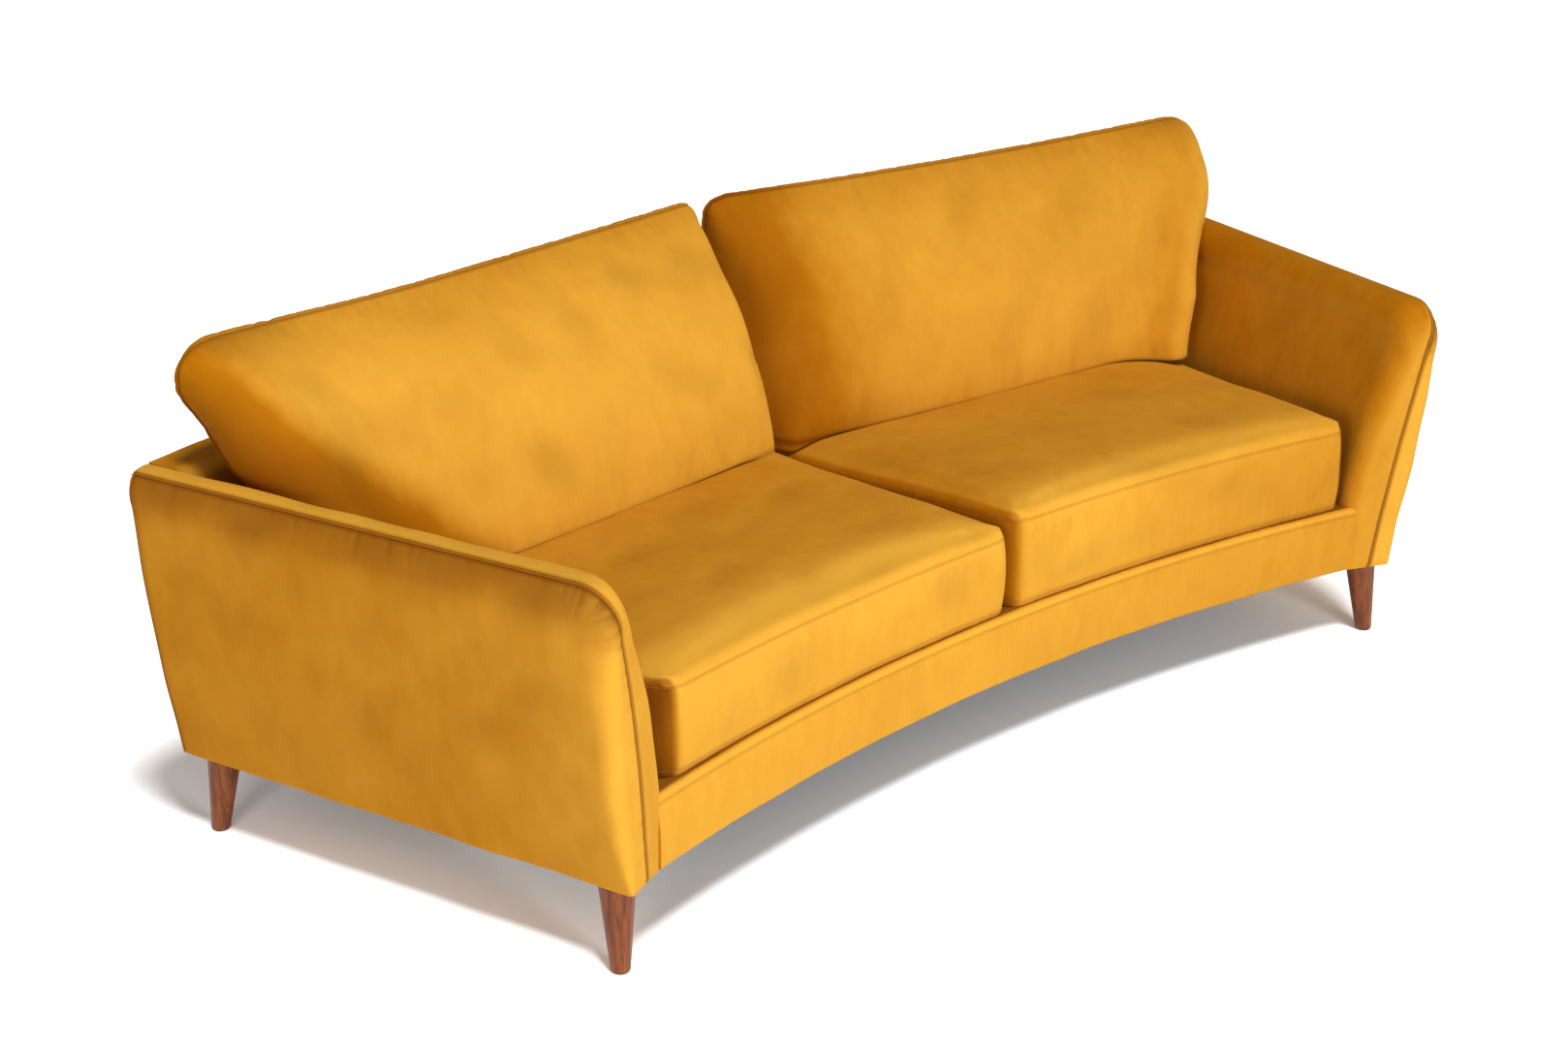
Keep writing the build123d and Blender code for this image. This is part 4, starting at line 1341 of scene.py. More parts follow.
        # painted shade where the outer panel bends over to the top seam and turns from the light
        bent = unit((flat[:, 2] - 560 * MM) / (60 * MM))
        shade += np.where(outer, 0.58 * bent * fading(away, 70 * MM), 0)
        # the pucker dents get painted shade too
        mark(piece, "crease_and_painted_shade", np.clip(shade - 0.08 * heights / MM, 0, 0.85))
        # painted light and shade on each panel, by how far it faces forwards and up and how near the front it
        # lies
        facing = self.side.mirrored(facings(piece))
        backwards = np.array([math.sin(self.plan.arm_angle), math.cos(self.plan.arm_angle), 0])
        ahead = unit(-facing @ backwards)
        upward = unit(facing[:, 2])
        if self.side is Side.LEFT:
            depth = flat @ backwards
            near = fading(depth - depth.min(), 170 * MM)
            painted_shade = np.where(outer, -0.15 - 0.35 * near, 0.05 + 0.15 * ahead - 0.7 * upward)
        else:
            painted_shade = np.where(outer, -0.3, -0.42 + 0.5 * ahead + 0.8 * upward)
        mark(piece, "extra_painted_light_and_shade", painted_shade * unit(away / (12 * MM)))

    def outer_side(self, points: Points) -> Points:
        """Say which right-hand points are on the outer panel's side of the seam."""
        sine, cosine = math.sin(self.plan.arm_angle), math.cos(self.plan.arm_angle)
        across = points[:, 0] * cosine - (points[:, 1] - self.plan.axis_y) * sine
        return across > self.seam_across(points[:, 2])


def boxed(
    top: Points, bottom: Points, rows: int, bulge: Points | float
) -> tuple[Points, list[Any], dict[str, Points]]:
    """Sew two panels of the same grid to a band between their edges.

    Args:
        top: Grid of the first panel's points.
        bottom: Grid of the second panel's points.
        rows: Steps across the band.
        bulge: How far the band stands out, at each step round the edge or all along it.

    Returns:
        Points, faces, and point numbers of the panels and of both sewn edges.
    """
    long, wide = top.shape[:2]
    count = long * wide
    numbers = np.arange(count).reshape(long, wide)
    edge = np.concatenate([numbers[:-1, 0], numbers[-1, :-1], numbers[:0:-1, -1], numbers[0, :0:-1]])
    upper, lower = top.reshape(-1, 3)[edge], bottom.reshape(-1, 3)[edge]
    middle = (upper + lower) / 2
    heading = np.roll(middle, -1, 0) - np.roll(middle, 1, 0)
    outwards = np.cross(heading, upper - lower)
    outwards /= np.maximum(np.linalg.norm(outwards, axis=1, keepdims=True), 1e-9)
    if ((middle - middle.mean(0)) * outwards).sum() < 0:
        outwards = -outwards
    band = []
    for row in range(1, rows):
        share = row / rows
        push = outwards * (4 * share * (1 - share) * np.broadcast_to(bulge, len(edge)))[:, None]
        band.append(lower + (upper - lower) * share + push)
    points = np.vstack([top.reshape(-1, 3), bottom.reshape(-1, 3), *band])
    panel = quads(long, wide)
    faces = np.vstack([panel, panel + count]).tolist()
    lines = [edge + count]
    lines += [2 * count + row * len(edge) + np.arange(len(edge)) for row in range(rows - 1)]
    lines.append(edge)
    for first, second in zip(lines, lines[1:]):
        faces += np.stack([first, np.roll(first, -1), np.roll(second, -1), second], -1).tolist()
    groups = {
        "top": np.arange(count),
        "bottom": count + np.arange(count),
        "top_edge": edge,
        "bottom_edge": edge + count,
    }
    return points, faces, groups


@dataclass
class SeatCushion:
    """A boxed seat cushion with a crowned top, rolled edges and stitched seams."""

    plan: Plan
    side: Side
    front: float = 3761 * MM
    rear: float = 4486 * MM
    low: float = 271 * MM
    rear_seam: float = 403 * MM
    crown: float = 15 * MM
    arm_side: float = -106 * MM
    front_draw: float = 32 * MM
    corner: float = 46 * MM
    top_roll: float = 17 * MM
    bottom_roll: float = 13 * MM
    band_bulge: float = 5 * MM
    step: float = 9.5 * MM
    filling: Filling = Filling(pressure=2.0, cap=5 * MM)

    def front_seam(self, share: Points) -> Points:
        """Give the height of the front's top seam: the right cushion is the plumper one."""
        if self.side is Side.LEFT:
            return 417 * MM + 10 * MM * share**2
        return 440 * MM - 7 * MM * share

    @property
    def centre(self) -> float:
        """Give the inner end's place: the pair meet a little to the right of the middle."""
        return -30 * MM if self.side is Side.LEFT else 33 * MM

    @property
    def length(self) -> float:
        """Give the cushion's length along the middle of its curve."""
        return self.plan.arm_angle * (self.front + self.rear) / 2

    def panels(self) -> tuple[Points, Points]:
        """Shape the top and bottom panels as grids.

        Returns:
            Right-hand points of both.
        """
        fine = np.array([3, 7, 13, 21]) * MM
        width = self.rear - self.front
        along = edge_spaced(self.length, self.step, fine)
        back = edge_spaced(width, self.step, fine)
        share, depth = np.meshgrid(along, back, indexing="ij")
        round_size = self.corner / self.length, self.corner / width
        corners = {(right, rear): round_size for right in (0, 1) for rear in (0, 1)}
        placed, set_back = round_corners(share, depth, corners)
        drawn_in = self.front_draw * unit(1 - depth / 0.4) if self.side is Side.LEFT else 0
        offset = self.centre * (1 - placed) + (self.arm_side - drawn_in) * placed
        radius = self.front + width * set_back
        end = np.minimum(share, 1 - share) * self.length
        edge = np.minimum(depth, 1 - depth) * width

        def fall(roll: float) -> Points:
            """Give how far a rolled edge falls below the panel."""
            nearby = (1 - unit(end / roll)) ** 2 + (1 - unit(edge / roll)) ** 2
            return roll * (1 - np.sqrt(unit(1 - nearby)))

        swell = (1 - np.abs(2 * share - 1) ** 5) * (1 - np.abs(2 * depth - 1) ** 2.6)
        seam = self.front_seam(share)
        seam = seam + (self.rear_seam - seam) * eased(depth / 0.8)
        height = seam + self.top_roll + self.crown * swell - fall(self.top_roll)
        top = self.plan.in_cushion(placed, offset, radius, height)
        bottom = self.plan.in_cushion(placed, offset, radius, self.low + fall(self.bottom_roll))
        return top, bottom

    def build(self, stitching: PathTree) -> list[Piece]:
        """Make the cushion and the stitches along its seams.

        Args:
            stitching: Tree that lays stitches.

        Returns:
            The cushion's pieces.
        """
        label = self.side.label
        points, faces, groups = boxed(*self.panels(), 11, self.band_bulge)
        piece = make_piece(f"seat_cushion_{label}", self.side.mirrored(points), faces, VELVET)
        sewn = np.zeros(len(points))
        for name in ("bottom", "top_edge", "bottom_edge"):
            sewn[groups[name]] = 1
        seams = [Seam(places(piece)[groups[name]], True) for name in ("top_edge", "bottom_edge")]
        slack = unit(1 - seams[0].near(places(piece))[1] / (45 * MM))
        self.filling.swell(piece, sewn, slack)
        subdivide(piece)
        lines = [groups[name] for name in ("top_edge", "bottom_edge")]
        self.crease_and_painted_shade(piece, [Seam(places(piece)[line], True) for line in lines])
        settled, lift = places(piece), facings(piece)
        rows = [Seam(settled[line] + lift[line] * STITCH_LIFT, True) for line in lines]
        stitches = stitching.lay(f"seat_cushion_stitches_{label}", rows, THREAD, SEAM_STITCH)
        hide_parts(f"seat_cushion_cover_{label}", f"seat_cushion_core_{label}")
        return [piece, stitches]

    def crease_and_painted_shade(self, piece: Piece, seams: Sequence[Seam]) -> None:
        """Draw the seams in, pucker the cloth beside them and paint light and shade into its colour.

        Args:
            piece: The cushion.
            seams: Its top and bottom seams.
        """
        points = places(piece)
        seed = 20 + self.side.value
        heights = 0.8 * MM * undulation(points, 120 * MM, seed)
        shade = np.zeros(len(points))
        for number, seam in enumerate(seams):
            along, away = seam.near(points)
            length = seam.length()
            heights *= unit(0.3 + away / (50 * MM))
            patchy = 0.55 + 0.45 * np.sin(along * 7 + 2 * number + self.side.value)
            below = np.clip(0.5 + (seam.path[:, 2].mean() - points[:, 2]) / (20 * MM), 0.15, 1)
            fine = Puckers(10 * MM, depth=1.5 * MM, reach=44 * MM, width=3.2 * MM, seed=seed + 3 + number)
            heights += fine.heights(along, away, length) * patchy * (below if number == 0 else 0.6)
            heights -= 0.7 * MM * fading(away, 3 * MM)
            # the seam line darkens, partly its own tone and partly painted shade
            shade += 0.22 * fading(away, 2.5 * MM)
        heights = np.where(points[:, 2] < self.low + 3 * MM, 0, heights)
        radius = np.hypot(points[:, 0], points[:, 1] - self.plan.axis_y)
        share = np.arctan2(np.abs(points[:, 0]), points[:, 1] - self.plan.axis_y) / self.plan.arm_angle
        facing = self.side.mirrored(facings(piece))
        # painted light on the top near the front edge, and on the right cushion painted shade on the front
        # towards the arm
        strength = 1.15 if self.side is Side.LEFT else 0.45
        painted_shade = -strength * fading(radius - self.front, 85 * MM) * unit(facing[:, 2])
        if self.side is Side.RIGHT:
            painted_shade += 0.45 * unit((share - 0.25) / 0.7) * unit(-facing[:, 1])
        # painted shade on the ends between the cushions and the arms, half as deep at the middle
        turn = share * self.plan.arm_angle
        end = np.abs(facing[:, 0] * np.cos(turn) - facing[:, 1] * np.sin(turn))
        end = unit((end - 0.4) / 0.4) * unit(1.2 - np.abs(facing[:, 2]))
        end *= np.where(share > 0.5, 1, 0.5)
        mark(piece, "extra_painted_light_and_shade", painted_shade + 0.9 * end)
        # painted shade on the ends, along the foot in the gap over the apron, and in the pucker dents
        shade += 0.72 * end + 0.6 * unit((self.low + 11 * MM - points[:, 2]) / (8 * MM))
        raise_by(piece, heights)
        mark(piece, "crease_and_painted_shade", np.clip(shade - 0.08 * heights / MM, 0, 0.8))


@dataclass
class BackCushion:
    """A loose back cushion: a full front panel rolled back to a narrow welted edge.

    The outer end is plump and rolls over the arm; the pair are not quite alike, as pushed in by hand.
    """

    plan: Plan
    side: Side
    foot: float = 435.5 * MM
    head: float = 862 * MM
    depth: float = 200 * MM
    front_bulge: float = 62 * MM
    ridge_forward: float = 14 * MM
    ridge_width: float = 16 * MM
    rear_gap: float = 3 * MM
    rear_bulge: float = 7 * MM
    arm_roll: float = 80 * MM
    arm_room: float = 130 * MM
    roll_turn: float = math.radians(130)
    end_cloth: float = 200 * MM
    end_gap: float = 80 * MM
    corner_depth: float = 175 * MM
    inner_dip: float = 26 * MM
    welt: float = 7 * MM
    welt_bulge: float = 2.5 * MM
    step: float = 9.5 * MM
    filling: Filling = Filling(pressure=3.0, cap=22 * MM)

    @property
    def length(self) -> float:
        """Give the front panel's length, round its outer end to the seam."""
        return self.plan.arm_angle * self.plan.back_lip - self.arm_room + self.end_cloth

    @property
    def middle_roll(self) -> float:
        """Give the roll at the sofa's middle, where the left cushion stands before the right one."""
        return 34 * MM if self.side is Side.LEFT else 105 * MM

    @property
    def centre(self) -> float:
        """Give the inner end's place: the left cushion bulges past the middle before the right one."""
        return -18 * MM if self.side is Side.LEFT else 14 * MM

    @property
    def lean(self) -> float:
        """Give how far the cushion's top is pushed outwards."""
        return 14 * MM if self.side is Side.LEFT else 26 * MM

    @property
    def outer_corner(self) -> float:
        """Give the size of the round at the top outer corner."""
        return 50 * MM if self.side is Side.LEFT else 54 * MM

    @property
    def end_lift(self) -> float:
        """Give how far the lower outer corner is lifted: the right one sinks to the seat."""
        return 10 * MM if self.side is Side.LEFT else -8 * MM

    def rear_radius(self, height: Points) -> Points:
        """Place the rear panel, which leans on the back and stands up over it.

        Args:
            height: Height over the floor.

        Returns:
            The panel's radius.
        """
        lean = self.plan.back_face(height) - self.rear_gap
        lip = self.plan.back_lip - self.rear_gap
        ridge = self.plan.back_lip - self.ridge_forward
        share = unit((height - self.plan.arm_height) / (self.head - self.plan.arm_height))
        upper = lip + (ridge - lip) * share + 4 * self.rear_bulge * share * (1 - share)
        return np.where(height < self.plan.arm_height, lean, upper)

    def pushed(self, height: Points) -> Points:
        """Give how far outwards the cushion is pushed at a height."""
        return self.lean * eased((height - 450 * MM) / (290 * MM))

    def widest(self, height: Points) -> Points:
        """Place the outer end: beside the arm, then swelling out over its top.

        Args:
            height: Height over the floor.

        Returns:
            Distance outwards from the arm's foot.
        """
        levels = np.array([435, 600, 655, 690, 730, 770, 870]) * MM
        if self.side is Side.LEFT:
            ends = np.array([-72, -30, -15, -8, 3, 14, 23]) * MM
        else:
            ends = np.array([-92, -37, 4, 30, 52, 65, 80]) * MM
        fine = np.linspace(levels[0], levels[-1], 120)
        soft = np.convolve(np.pad(np.interp(fine, levels, ends), 15, "edge"), np.full(31, 1 / 31), "valid")
        return np.interp(height, fine, soft)

    def crest(self, share: Points) -> Points:
        """Give the height of the top edge, which sags between its corners."""
        if self.side is Side.LEFT:
            return 863 * MM + 13 * MM * eased((share - 0.5) / 0.4)
        return 852 * MM + 11 * MM * (2 * share - 1) ** 2

    def panels(self) -> tuple[Points, Points]:
        """Shape the front and rear panels as grids.

        Returns:
            Right-hand points of both.
        """
        fine = np.array([3, 8, 15, 24, 34]) * MM
        along = edge_spaced(self.length, self.step, fine)
        tall = self.head - self.foot
        up = edge_spaced(tall * 1.25, self.step, fine)
        share, rise = np.meshgrid(along, up, indexing="ij")
        inner_corner = 34 * MM if self.side is Side.LEFT else 48 * MM
        corners = {
            (0, 1): (inner_corner / self.length, 0.9 * inner_corner / tall),
            (1, 0): (30 * MM / self.length, 25 * MM / tall),
            (0, 0): (18 * MM / self.length, 10 * MM / tall),
        }
        placed, raised = round_corners(share, rise, corners)
        foot = (float(self.rear_radius(np.array(self.foot))) - self.depth, self.foot)
        top = (self.plan.back_lip - self.ridge_forward - self.ridge_width, self.head)
        face = bow(top, foot, self.front_bulge, 80)[::-1]
        steps = np.linspace(0, 1, len(face))
        height = np.interp(raised, steps, face[:, 1])
        full = np.interp(raised, steps, face[:, 0])
        bend = 1 - self.end_cloth / self.length
        flat = unit(placed / bend)
        end = unit((share - bend) / (1 - bend))
        # the roll turns past the end's widest place, less so at the top edge
        full_turn = math.pi / 2 + (self.roll_turn - math.pi / 2) * eased((1 - rise) / 0.3)
        out = np.where(end * full_turn < math.pi / 2, np.sin(end * full_turn), 1)
        corner = 1 - np.cbrt(unit(1 - out**3))
        crest = self.crest(share) - self.outer_corner * corner
        base = self.foot + self.end_lift * corner - self.inner_dip * unit(1 - share / 0.12) ** 2
        height = base + (height - self.foot) * (crest - base) / tall
        inset = np.where(share > bend, share - placed, 0) * self.length
        turn = self.plan.arm_angle * (flat - 0.5)
        straight = self.plan.back_lip * (math.cos(self.plan.arm_angle / 2) / np.cos(turn) - 1)
        # the outer end stands away from the back more towards its foot
        near_end = unit((flat - 0.72) / 0.28)
        stands = self.end_gap * np.clip((800 * MM - height) / (190 * MM), 0, 1.3)
        rear = self.rear_radius(height) - stands * near_end * near_end
        # the filling keeps the outer top corner plump
        thick = rear - self.welt - full
        plump = eased((share - bend + 0.14) / 0.2)
        round_top = self.corner_depth * np.sqrt(1 - unit((rise - 0.5) / 0.5) ** 2.4)
        thick = thick + plump * np.maximum(round_top - thick, 0)
        roll = 30 * MM + (self.middle_roll - 30 * MM) * unit(rise / 0.35)
        middle = 1 - quarter_roll(share * self.length, roll) / roll
        rolled = (1 - np.cos(end * full_turn)) / (1 - np.cos(full_turn))
        front = rear - self.welt - thick * middle * (1 - rolled)
        start = self.widest(height) - self.arm_roll
        offset = (self.centre + self.pushed(height)) * (1 - flat) + start * flat - inset
        front_out = offset + self.arm_roll * np.sin(end * full_turn)
        rear_out = offset + self.arm_roll * np.sin(full_turn) * end
        return (
            self.plan.in_cushion(flat, front_out, front + straight, height),
            self.plan.in_cushion(flat, rear_out, rear + straight, height),
        )

    def build(self, stitching: PathTree) -> list[Piece]:
        """Make the cushion and the stitches along its lower front seam.

        Args:
            stitching: Tree that lays stitches.

        Returns:
            The cushion's pieces.
        """
        label = self.side.label
        front, rear = self.panels()
        long, tall = front.shape[:2]
        around = 2 * (long + tall) - 4
        bulge = np.full(around, self.welt_bulge)
        bulge[:long] = 0
        points, faces, groups = boxed(front, rear, 5, bulge)
        piece = make_piece(f"back_cushion_{label}", self.side.mirrored(points), faces, VELVET)
        sewn = np.ones(len(points))
        sewn[groups["top"]] = 0
        sewn[groups["top_edge"]] = 1
        edge = Seam(places(piece)[groups["top_edge"]], True)
        slack = unit(1 - edge.near(places(piece))[1] / (70 * MM))
        slack[groups["bottom"]] = 0
        self.filling.swell(piece, sewn, slack)
        subdivide(piece)
        edge = Seam(places(piece)[groups["top_edge"]], True)
        self.crease_and_painted_shade(piece, edge)
        settled, lift = places(piece), facings(piece)
        lower = groups["top_edge"][:long]
        row = Seam(settled[lower] + lift[lower] * STITCH_LIFT)
        stitches = stitching.lay(f"back_cushion_stitches_{label}", [row], THREAD, SEAM_STITCH)
        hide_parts(f"back_cushion_cover_{label}", f"back_cushion_core_{label}")
        return [piece, stitches]

    def crease_and_painted_shade(self, piece: Piece, edge: Seam) -> None:
        """Pucker the front panel along its edge, leave the filling a little uneven and paint shade into its
        colour.

        Args:
            piece: The cushion.
            edge: Seam round the front panel.
        """
        points = places(piece)
        seed = 40 + self.side.value
        along, away = edge.near(points)
        length = edge.length()
        free = points[:, 2] > self.foot + 6 * MM
        heights = 1.6 * MM * undulation(points, 170 * MM, seed) * unit(away / (80 * MM))
        fine = Puckers(spacing=22 * MM, depth=1.4 * MM, reach=36 * MM, width=5 * MM, seed=seed + 3)
        heights += fine.heights(along, away, length)
        deep = Puckers(spacing=120 * MM, depth=1.8 * MM, reach=60 * MM, width=9 * MM, seed=seed + 6)
        heights += deep.heights(along, away, length)
        heights = np.where(free, heights, 0)
        heights -= 1.2 * MM * fading(away, 3.5 * MM)
        raise_by(piece, heights)
        # painted shade at the left cushion's outer foot, the right one's inner flank and the top
        painted_shade = self.stroke(piece)
        # the seam darkens, partly its own tone and partly painted shade; painted shade also fills the pucker
        # dents, deepens where the painted shade is strong and lines the foot against the seat
        shade = 0.45 * fading(away, 4 * MM) - 0.06 * heights / MM
        shade += 0.42 * unit(painted_shade - 0.25)
        shade += 0.5 * fading(points[:, 2] - self.foot, 7 * MM)
        mark(piece, "crease_and_painted_shade", np.clip(shade, 0, 0.8))
        mark(piece, "extra_painted_light_and_shade", painted_shade)

    def stroke(self, piece: Piece) -> Points:
        """Paint shade at the left cushion's outer foot, the right one's inner flank and along both tops.

        Args:
            piece: The cushion.

        Returns:
            How much painted shade falls at each point.
        """
        points = self.side.mirrored(places(piece))
        turn = np.arctan2(points[:, 0], points[:, 1] - self.plan.axis_y) / self.plan.arm_angle
        up = (points[:, 2] - self.foot) / (self.head - self.foot)
        if self.side is Side.LEFT:
            far = (turn - 0.72) / 0.27 - (points[:, 2] - 530 * MM) / (270 * MM) + 0.25
            painted_shade = 1.25 * eased(far / 0.6)
        else:
            painted_shade = 0.9 * fading(turn, 0.13 + 0.1 * (1 - up)) + 0.05
        return painted_shade + 0.2 * unit((up - 0.8) / 0.2)


@dataclass
class CurvedPanel:
    """Padding or cloth that follows the sofa's curve between two side lines.

    Attributes:
        name: The piece's name.
        plan: The sofa's plan.
        steps: Steps along the curve.
    """

    name: str
    plan: Plan
    steps: int = 190

    def sweep(self, profile: Points, side_line: Points) -> tuple[Points, list[Any]]:
        """Sweep a closed profile along the curve and close its ends.

        Args:
            profile: Radius and height of each point.
            side_line: Distance across from the right arm's foot at which each point's run ends.

        Returns:
            Points and faces.
        """
        limit = self.plan.turn_to_arm(side_line, profile[:, 0])
        radius = profile[:, 0].mean()
        fine = np.array([1.5, 4, 8, 14]) * MM
        span = 2 * self.plan.arm_angle * radius
        shares = edge_spaced(span, span / self.steps, fine)
        rings = [self.plan.polar(limit * (2 * share - 1), *profile.T) for share in shares]
        around = len(profile)
        faces: list[Any] = quads(len(rings), around, around=True).tolist()
        faces.append(list(range(around)))
        faces.append(list(range((len(rings) - 1) * around, len(rings) * around)))
        return np.vstack(rings), faces

    def sewn_line(self, profile: Points, side_line: Points, number: int) -> Seam:
        """Give the line that one point of the profile follows."""
        limit = self.plan.turn_to_arm(side_line[number], profile[number, 0])
        return Seam(self.plan.polar(limit * np.linspace(-1, 1, 300), *profile[number]))


@dataclass
class FrontApron:
    """The padded apron under the seat cushions, with a seam along its rolled top edge."""

    plan: Plan
    arm: Arm
    reach: float = 3810 * MM
    top_roll: float = 9 * MM
    hem_roll: float = 4 * MM
    bulge: float = 3 * MM
    seam_drop: float = 13 * MM
    puff: float = 6 * MM
    tucked: float = 14 * MM
    thickness: float = 9 * MM
    turned_in: float = 30 * MM
    turned_up: float = 3 * MM

    def profile(self) -> tuple[Points, int]:
        """Draw the apron's section from its hem, up its face, over its top and back inside.

        Returns:
            Radius and height of each point, and the number of the seam's point.
        """
        face, low, top = self.plan.front_radius, self.plan.leg_height, self.plan.deck + self.puff
        turns = np.linspace(0, math.pi / 2, 7)
        hem = np.column_stack(
            [face + self.hem_roll * (1 - np.sin(turns)), low + self.hem_roll * (1 - np.cos(turns))]
        )
        seam = (face, top - self.seam_drop)
        front = bow(seam, (face, low + self.hem_roll), self.bulge, 34)[::-1]
        roll = np.column_stack(
            [face + self.top_roll * (1 - np.cos(turns)), top - self.top_roll * (1 - np.sin(turns))]
        )
        shelf = np.linspace((face + self.top_roll, top), (self.reach, self.plan.deck), 8)[1:]
        inside = np.array(
            [
                (self.reach, self.plan.deck - self.thickness),
                (face + self.thickness, top - self.thickness),
                (face + self.thickness, low + self.turned_up),
                (face + self.turned_in, low + self.turned_up),
                (face + self.turned_in, low),
            ]
        )
        points = np.vstack([hem, front[1:], roll, shelf, inside])
        return points, len(hem) + len(front) - 2

    def build(self) -> list[Piece]:
        """Make the apron.

        Returns:
            The apron as a list of one piece.
        """
        profile, sewn = self.profile()
        sides = self.arm.inner_across(profile[:, 1]) + self.tucked
        panel = CurvedPanel("apron_upholstery", self.plan)
        points, faces = panel.sweep(profile, sides)
        piece = make_piece(panel.name, points, faces, VELVET)
        subdivide(piece)
        line = panel.sewn_line(profile, sides, sewn)
        now = places(piece)
        along, away = line.near(now)
        heights = 0.6 * MM * undulation(now, 150 * MM, 3)
        pucker = Puckers(spacing=26 * MM, depth=0.8 * MM, reach=26 * MM, width=5 * MM, seed=4)
        heights += pucker.heights(along, away, line.length())
        heights -= 0.7 * MM * fading(away, 3 * MM)
        raise_by(piece, heights)
        # the seam darkens, partly its own tone and partly painted shade, and the shelf under the seat
        # cushions gets painted shade
        radius = np.hypot(now[:, 0], now[:, 1] - self.plan.axis_y)
        under = unit((radius - self.plan.front_radius - 9 * MM) / (4 * MM))
        mark(piece, "crease_and_painted_shade", np.clip(0.24 * fading(away, 3 * MM) + 0.7 * under, 0, 0.8))
        # painted light on the top roll, and painted shade growing towards the right end
        high = unit((now[:, 2] - self.plan.deck + self.top_roll) / self.top_roll)
        mark(piece, "extra_painted_light_and_shade", 0.07 - 0.3 * high + 0.18 * unit(now[:, 0] / (800 * MM)))
        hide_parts("apron_cover", "apron_pad")
        return [piece]


@dataclass
class PaddedBack:
    """The raked inner back with its soft top edge, and the cloth over the outer back."""

    plan: Plan
    arm: Arm
    lip_radius: float = 26 * MM
    rear_roll: float = 9 * MM
    bulge: float = 5 * MM
    pad: float = 28 * MM
    cloth: float = 7 * MM
    cord_radius: float = 2.2 * MM

    def inner_profile(self) -> Points:
        """Draw the padding's section up its face, over its top and back inside.

        Returns:
            Radius and height of each point.
        """
        low, top = self.plan.deck + 2 * MM, self.plan.arm_height - 3 * MM
        rear = self.plan.back_radius - 2.5 * MM
        turns = np.linspace(0, math.pi / 2, 8)
        lip_start = top - self.lip_radius
        face_top = float(self.plan.back_face(np.array(lip_start)))
        face_foot = float(self.plan.back_face(np.array(low)))
        face = bow((face_top, lip_start), (face_foot, low), self.bulge, 34)[::-1]
        lip = np.column_stack(
            [
                face_top + (self.lip_radius + 6 * MM) * (1 - np.cos(turns)),
                lip_start + self.lip_radius * np.sin(turns),
            ]
        )
        across = bow((rear - self.rear_roll, top), (lip[-1, 0], top), -2 * MM, 8)[::-1]
        edge = np.column_stack(
            [rear - self.rear_roll * (1 - np.sin(turns)), top - self.rear_roll * (1 - np.cos(turns))]
        )
        inside = np.array(
            [
                (rear, top - 60 * MM),
                (rear - 10 * MM, top - 60 * MM),
                (rear - 10 * MM, top - self.pad),
                (face_top + self.pad + 10 * MM, top - self.pad),
                (face[0, 0] + self.pad, low),
            ]
        )
        return np.vstack([face, lip[1:], across[1:], edge[1:], inside])

    def outer_profile(self) -> Points:
        """Draw the outer cloth's section from its hem up to its top edge and back inside.

        Returns:
            Radius and height of each point.
        """
        low, top = self.plan.leg_height, self.plan.arm_height - 15 * MM
        radius = self.plan.back_radius
        face = bow((radius - 1 * MM, low), (radius - 1 * MM, top), 1 * MM, 48)
        return np.vstack([face, [(radius - self.cloth, top), (radius - self.cloth, low)]])

    def build(self, cords: PathTree) -> list[Piece]:
        """Make the padded back, the outer cloth and the cord along its top.

        Args:
            cords: Tree that lays cords.

        Returns:
            The back's pieces.
        """
        inner = self.inner_profile()
        padding = CurvedPanel("back_upholstery", self.plan)
        points, faces = padding.sweep(inner, self.arm.inner_across(inner[:, 1]))
        soft = make_piece(padding.name, points, faces, VELVET)
        subdivide(soft)
        now = places(soft)
        raise_by(soft, 0.8 * MM * undulation(now, 160 * MM, 7))
        # painted shade, even over the padded back
        mark(soft, "extra_painted_light_and_shade", np.full(len(now), 0.35))
        outer = self.outer_profile()
        sheet = CurvedPanel("outer_back_panel", self.plan)
        edges = self.arm.outer_across(outer[:, 1]) - 0.85 * self.arm.rear_roll
        points, faces = sheet.sweep(outer, edges)
        cover = make_piece(sheet.name, points, faces, VELVET)
        now = places(cover)
        top = sheet.sewn_line(outer, edges, 48)
        along, away = top.near(now)
        heights = 0.7 * MM * undulation(now, 220 * MM, 8)
        pucker = Puckers(spacing=34 * MM, depth=0.9 * MM, reach=30 * MM, width=6 * MM, seed=9)
        heights += pucker.heights(along, away, top.length())
        raise_by(cover, np.minimum(heights, 0))
        # the top seam darkens, partly its own tone and partly painted shade
        mark(cover, "crease_and_painted_shade", np.clip(0.6 * fading(away, 6 * MM), 0, 0.8))
        sizes = {"Radius": self.cord_radius, "Sides": CORD_SIDES}
        cord = cords.lay("back_seam_cord", [top], VELVET, sizes)
        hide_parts("back_inner_cover", "back_pad")
        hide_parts("back_outer_cover")
        width = 2 * float(self.plan.turn_to_arm(edges.max(), self.plan.back_radius)) * self.plan.back_radius
        return [soft, cover, cord]


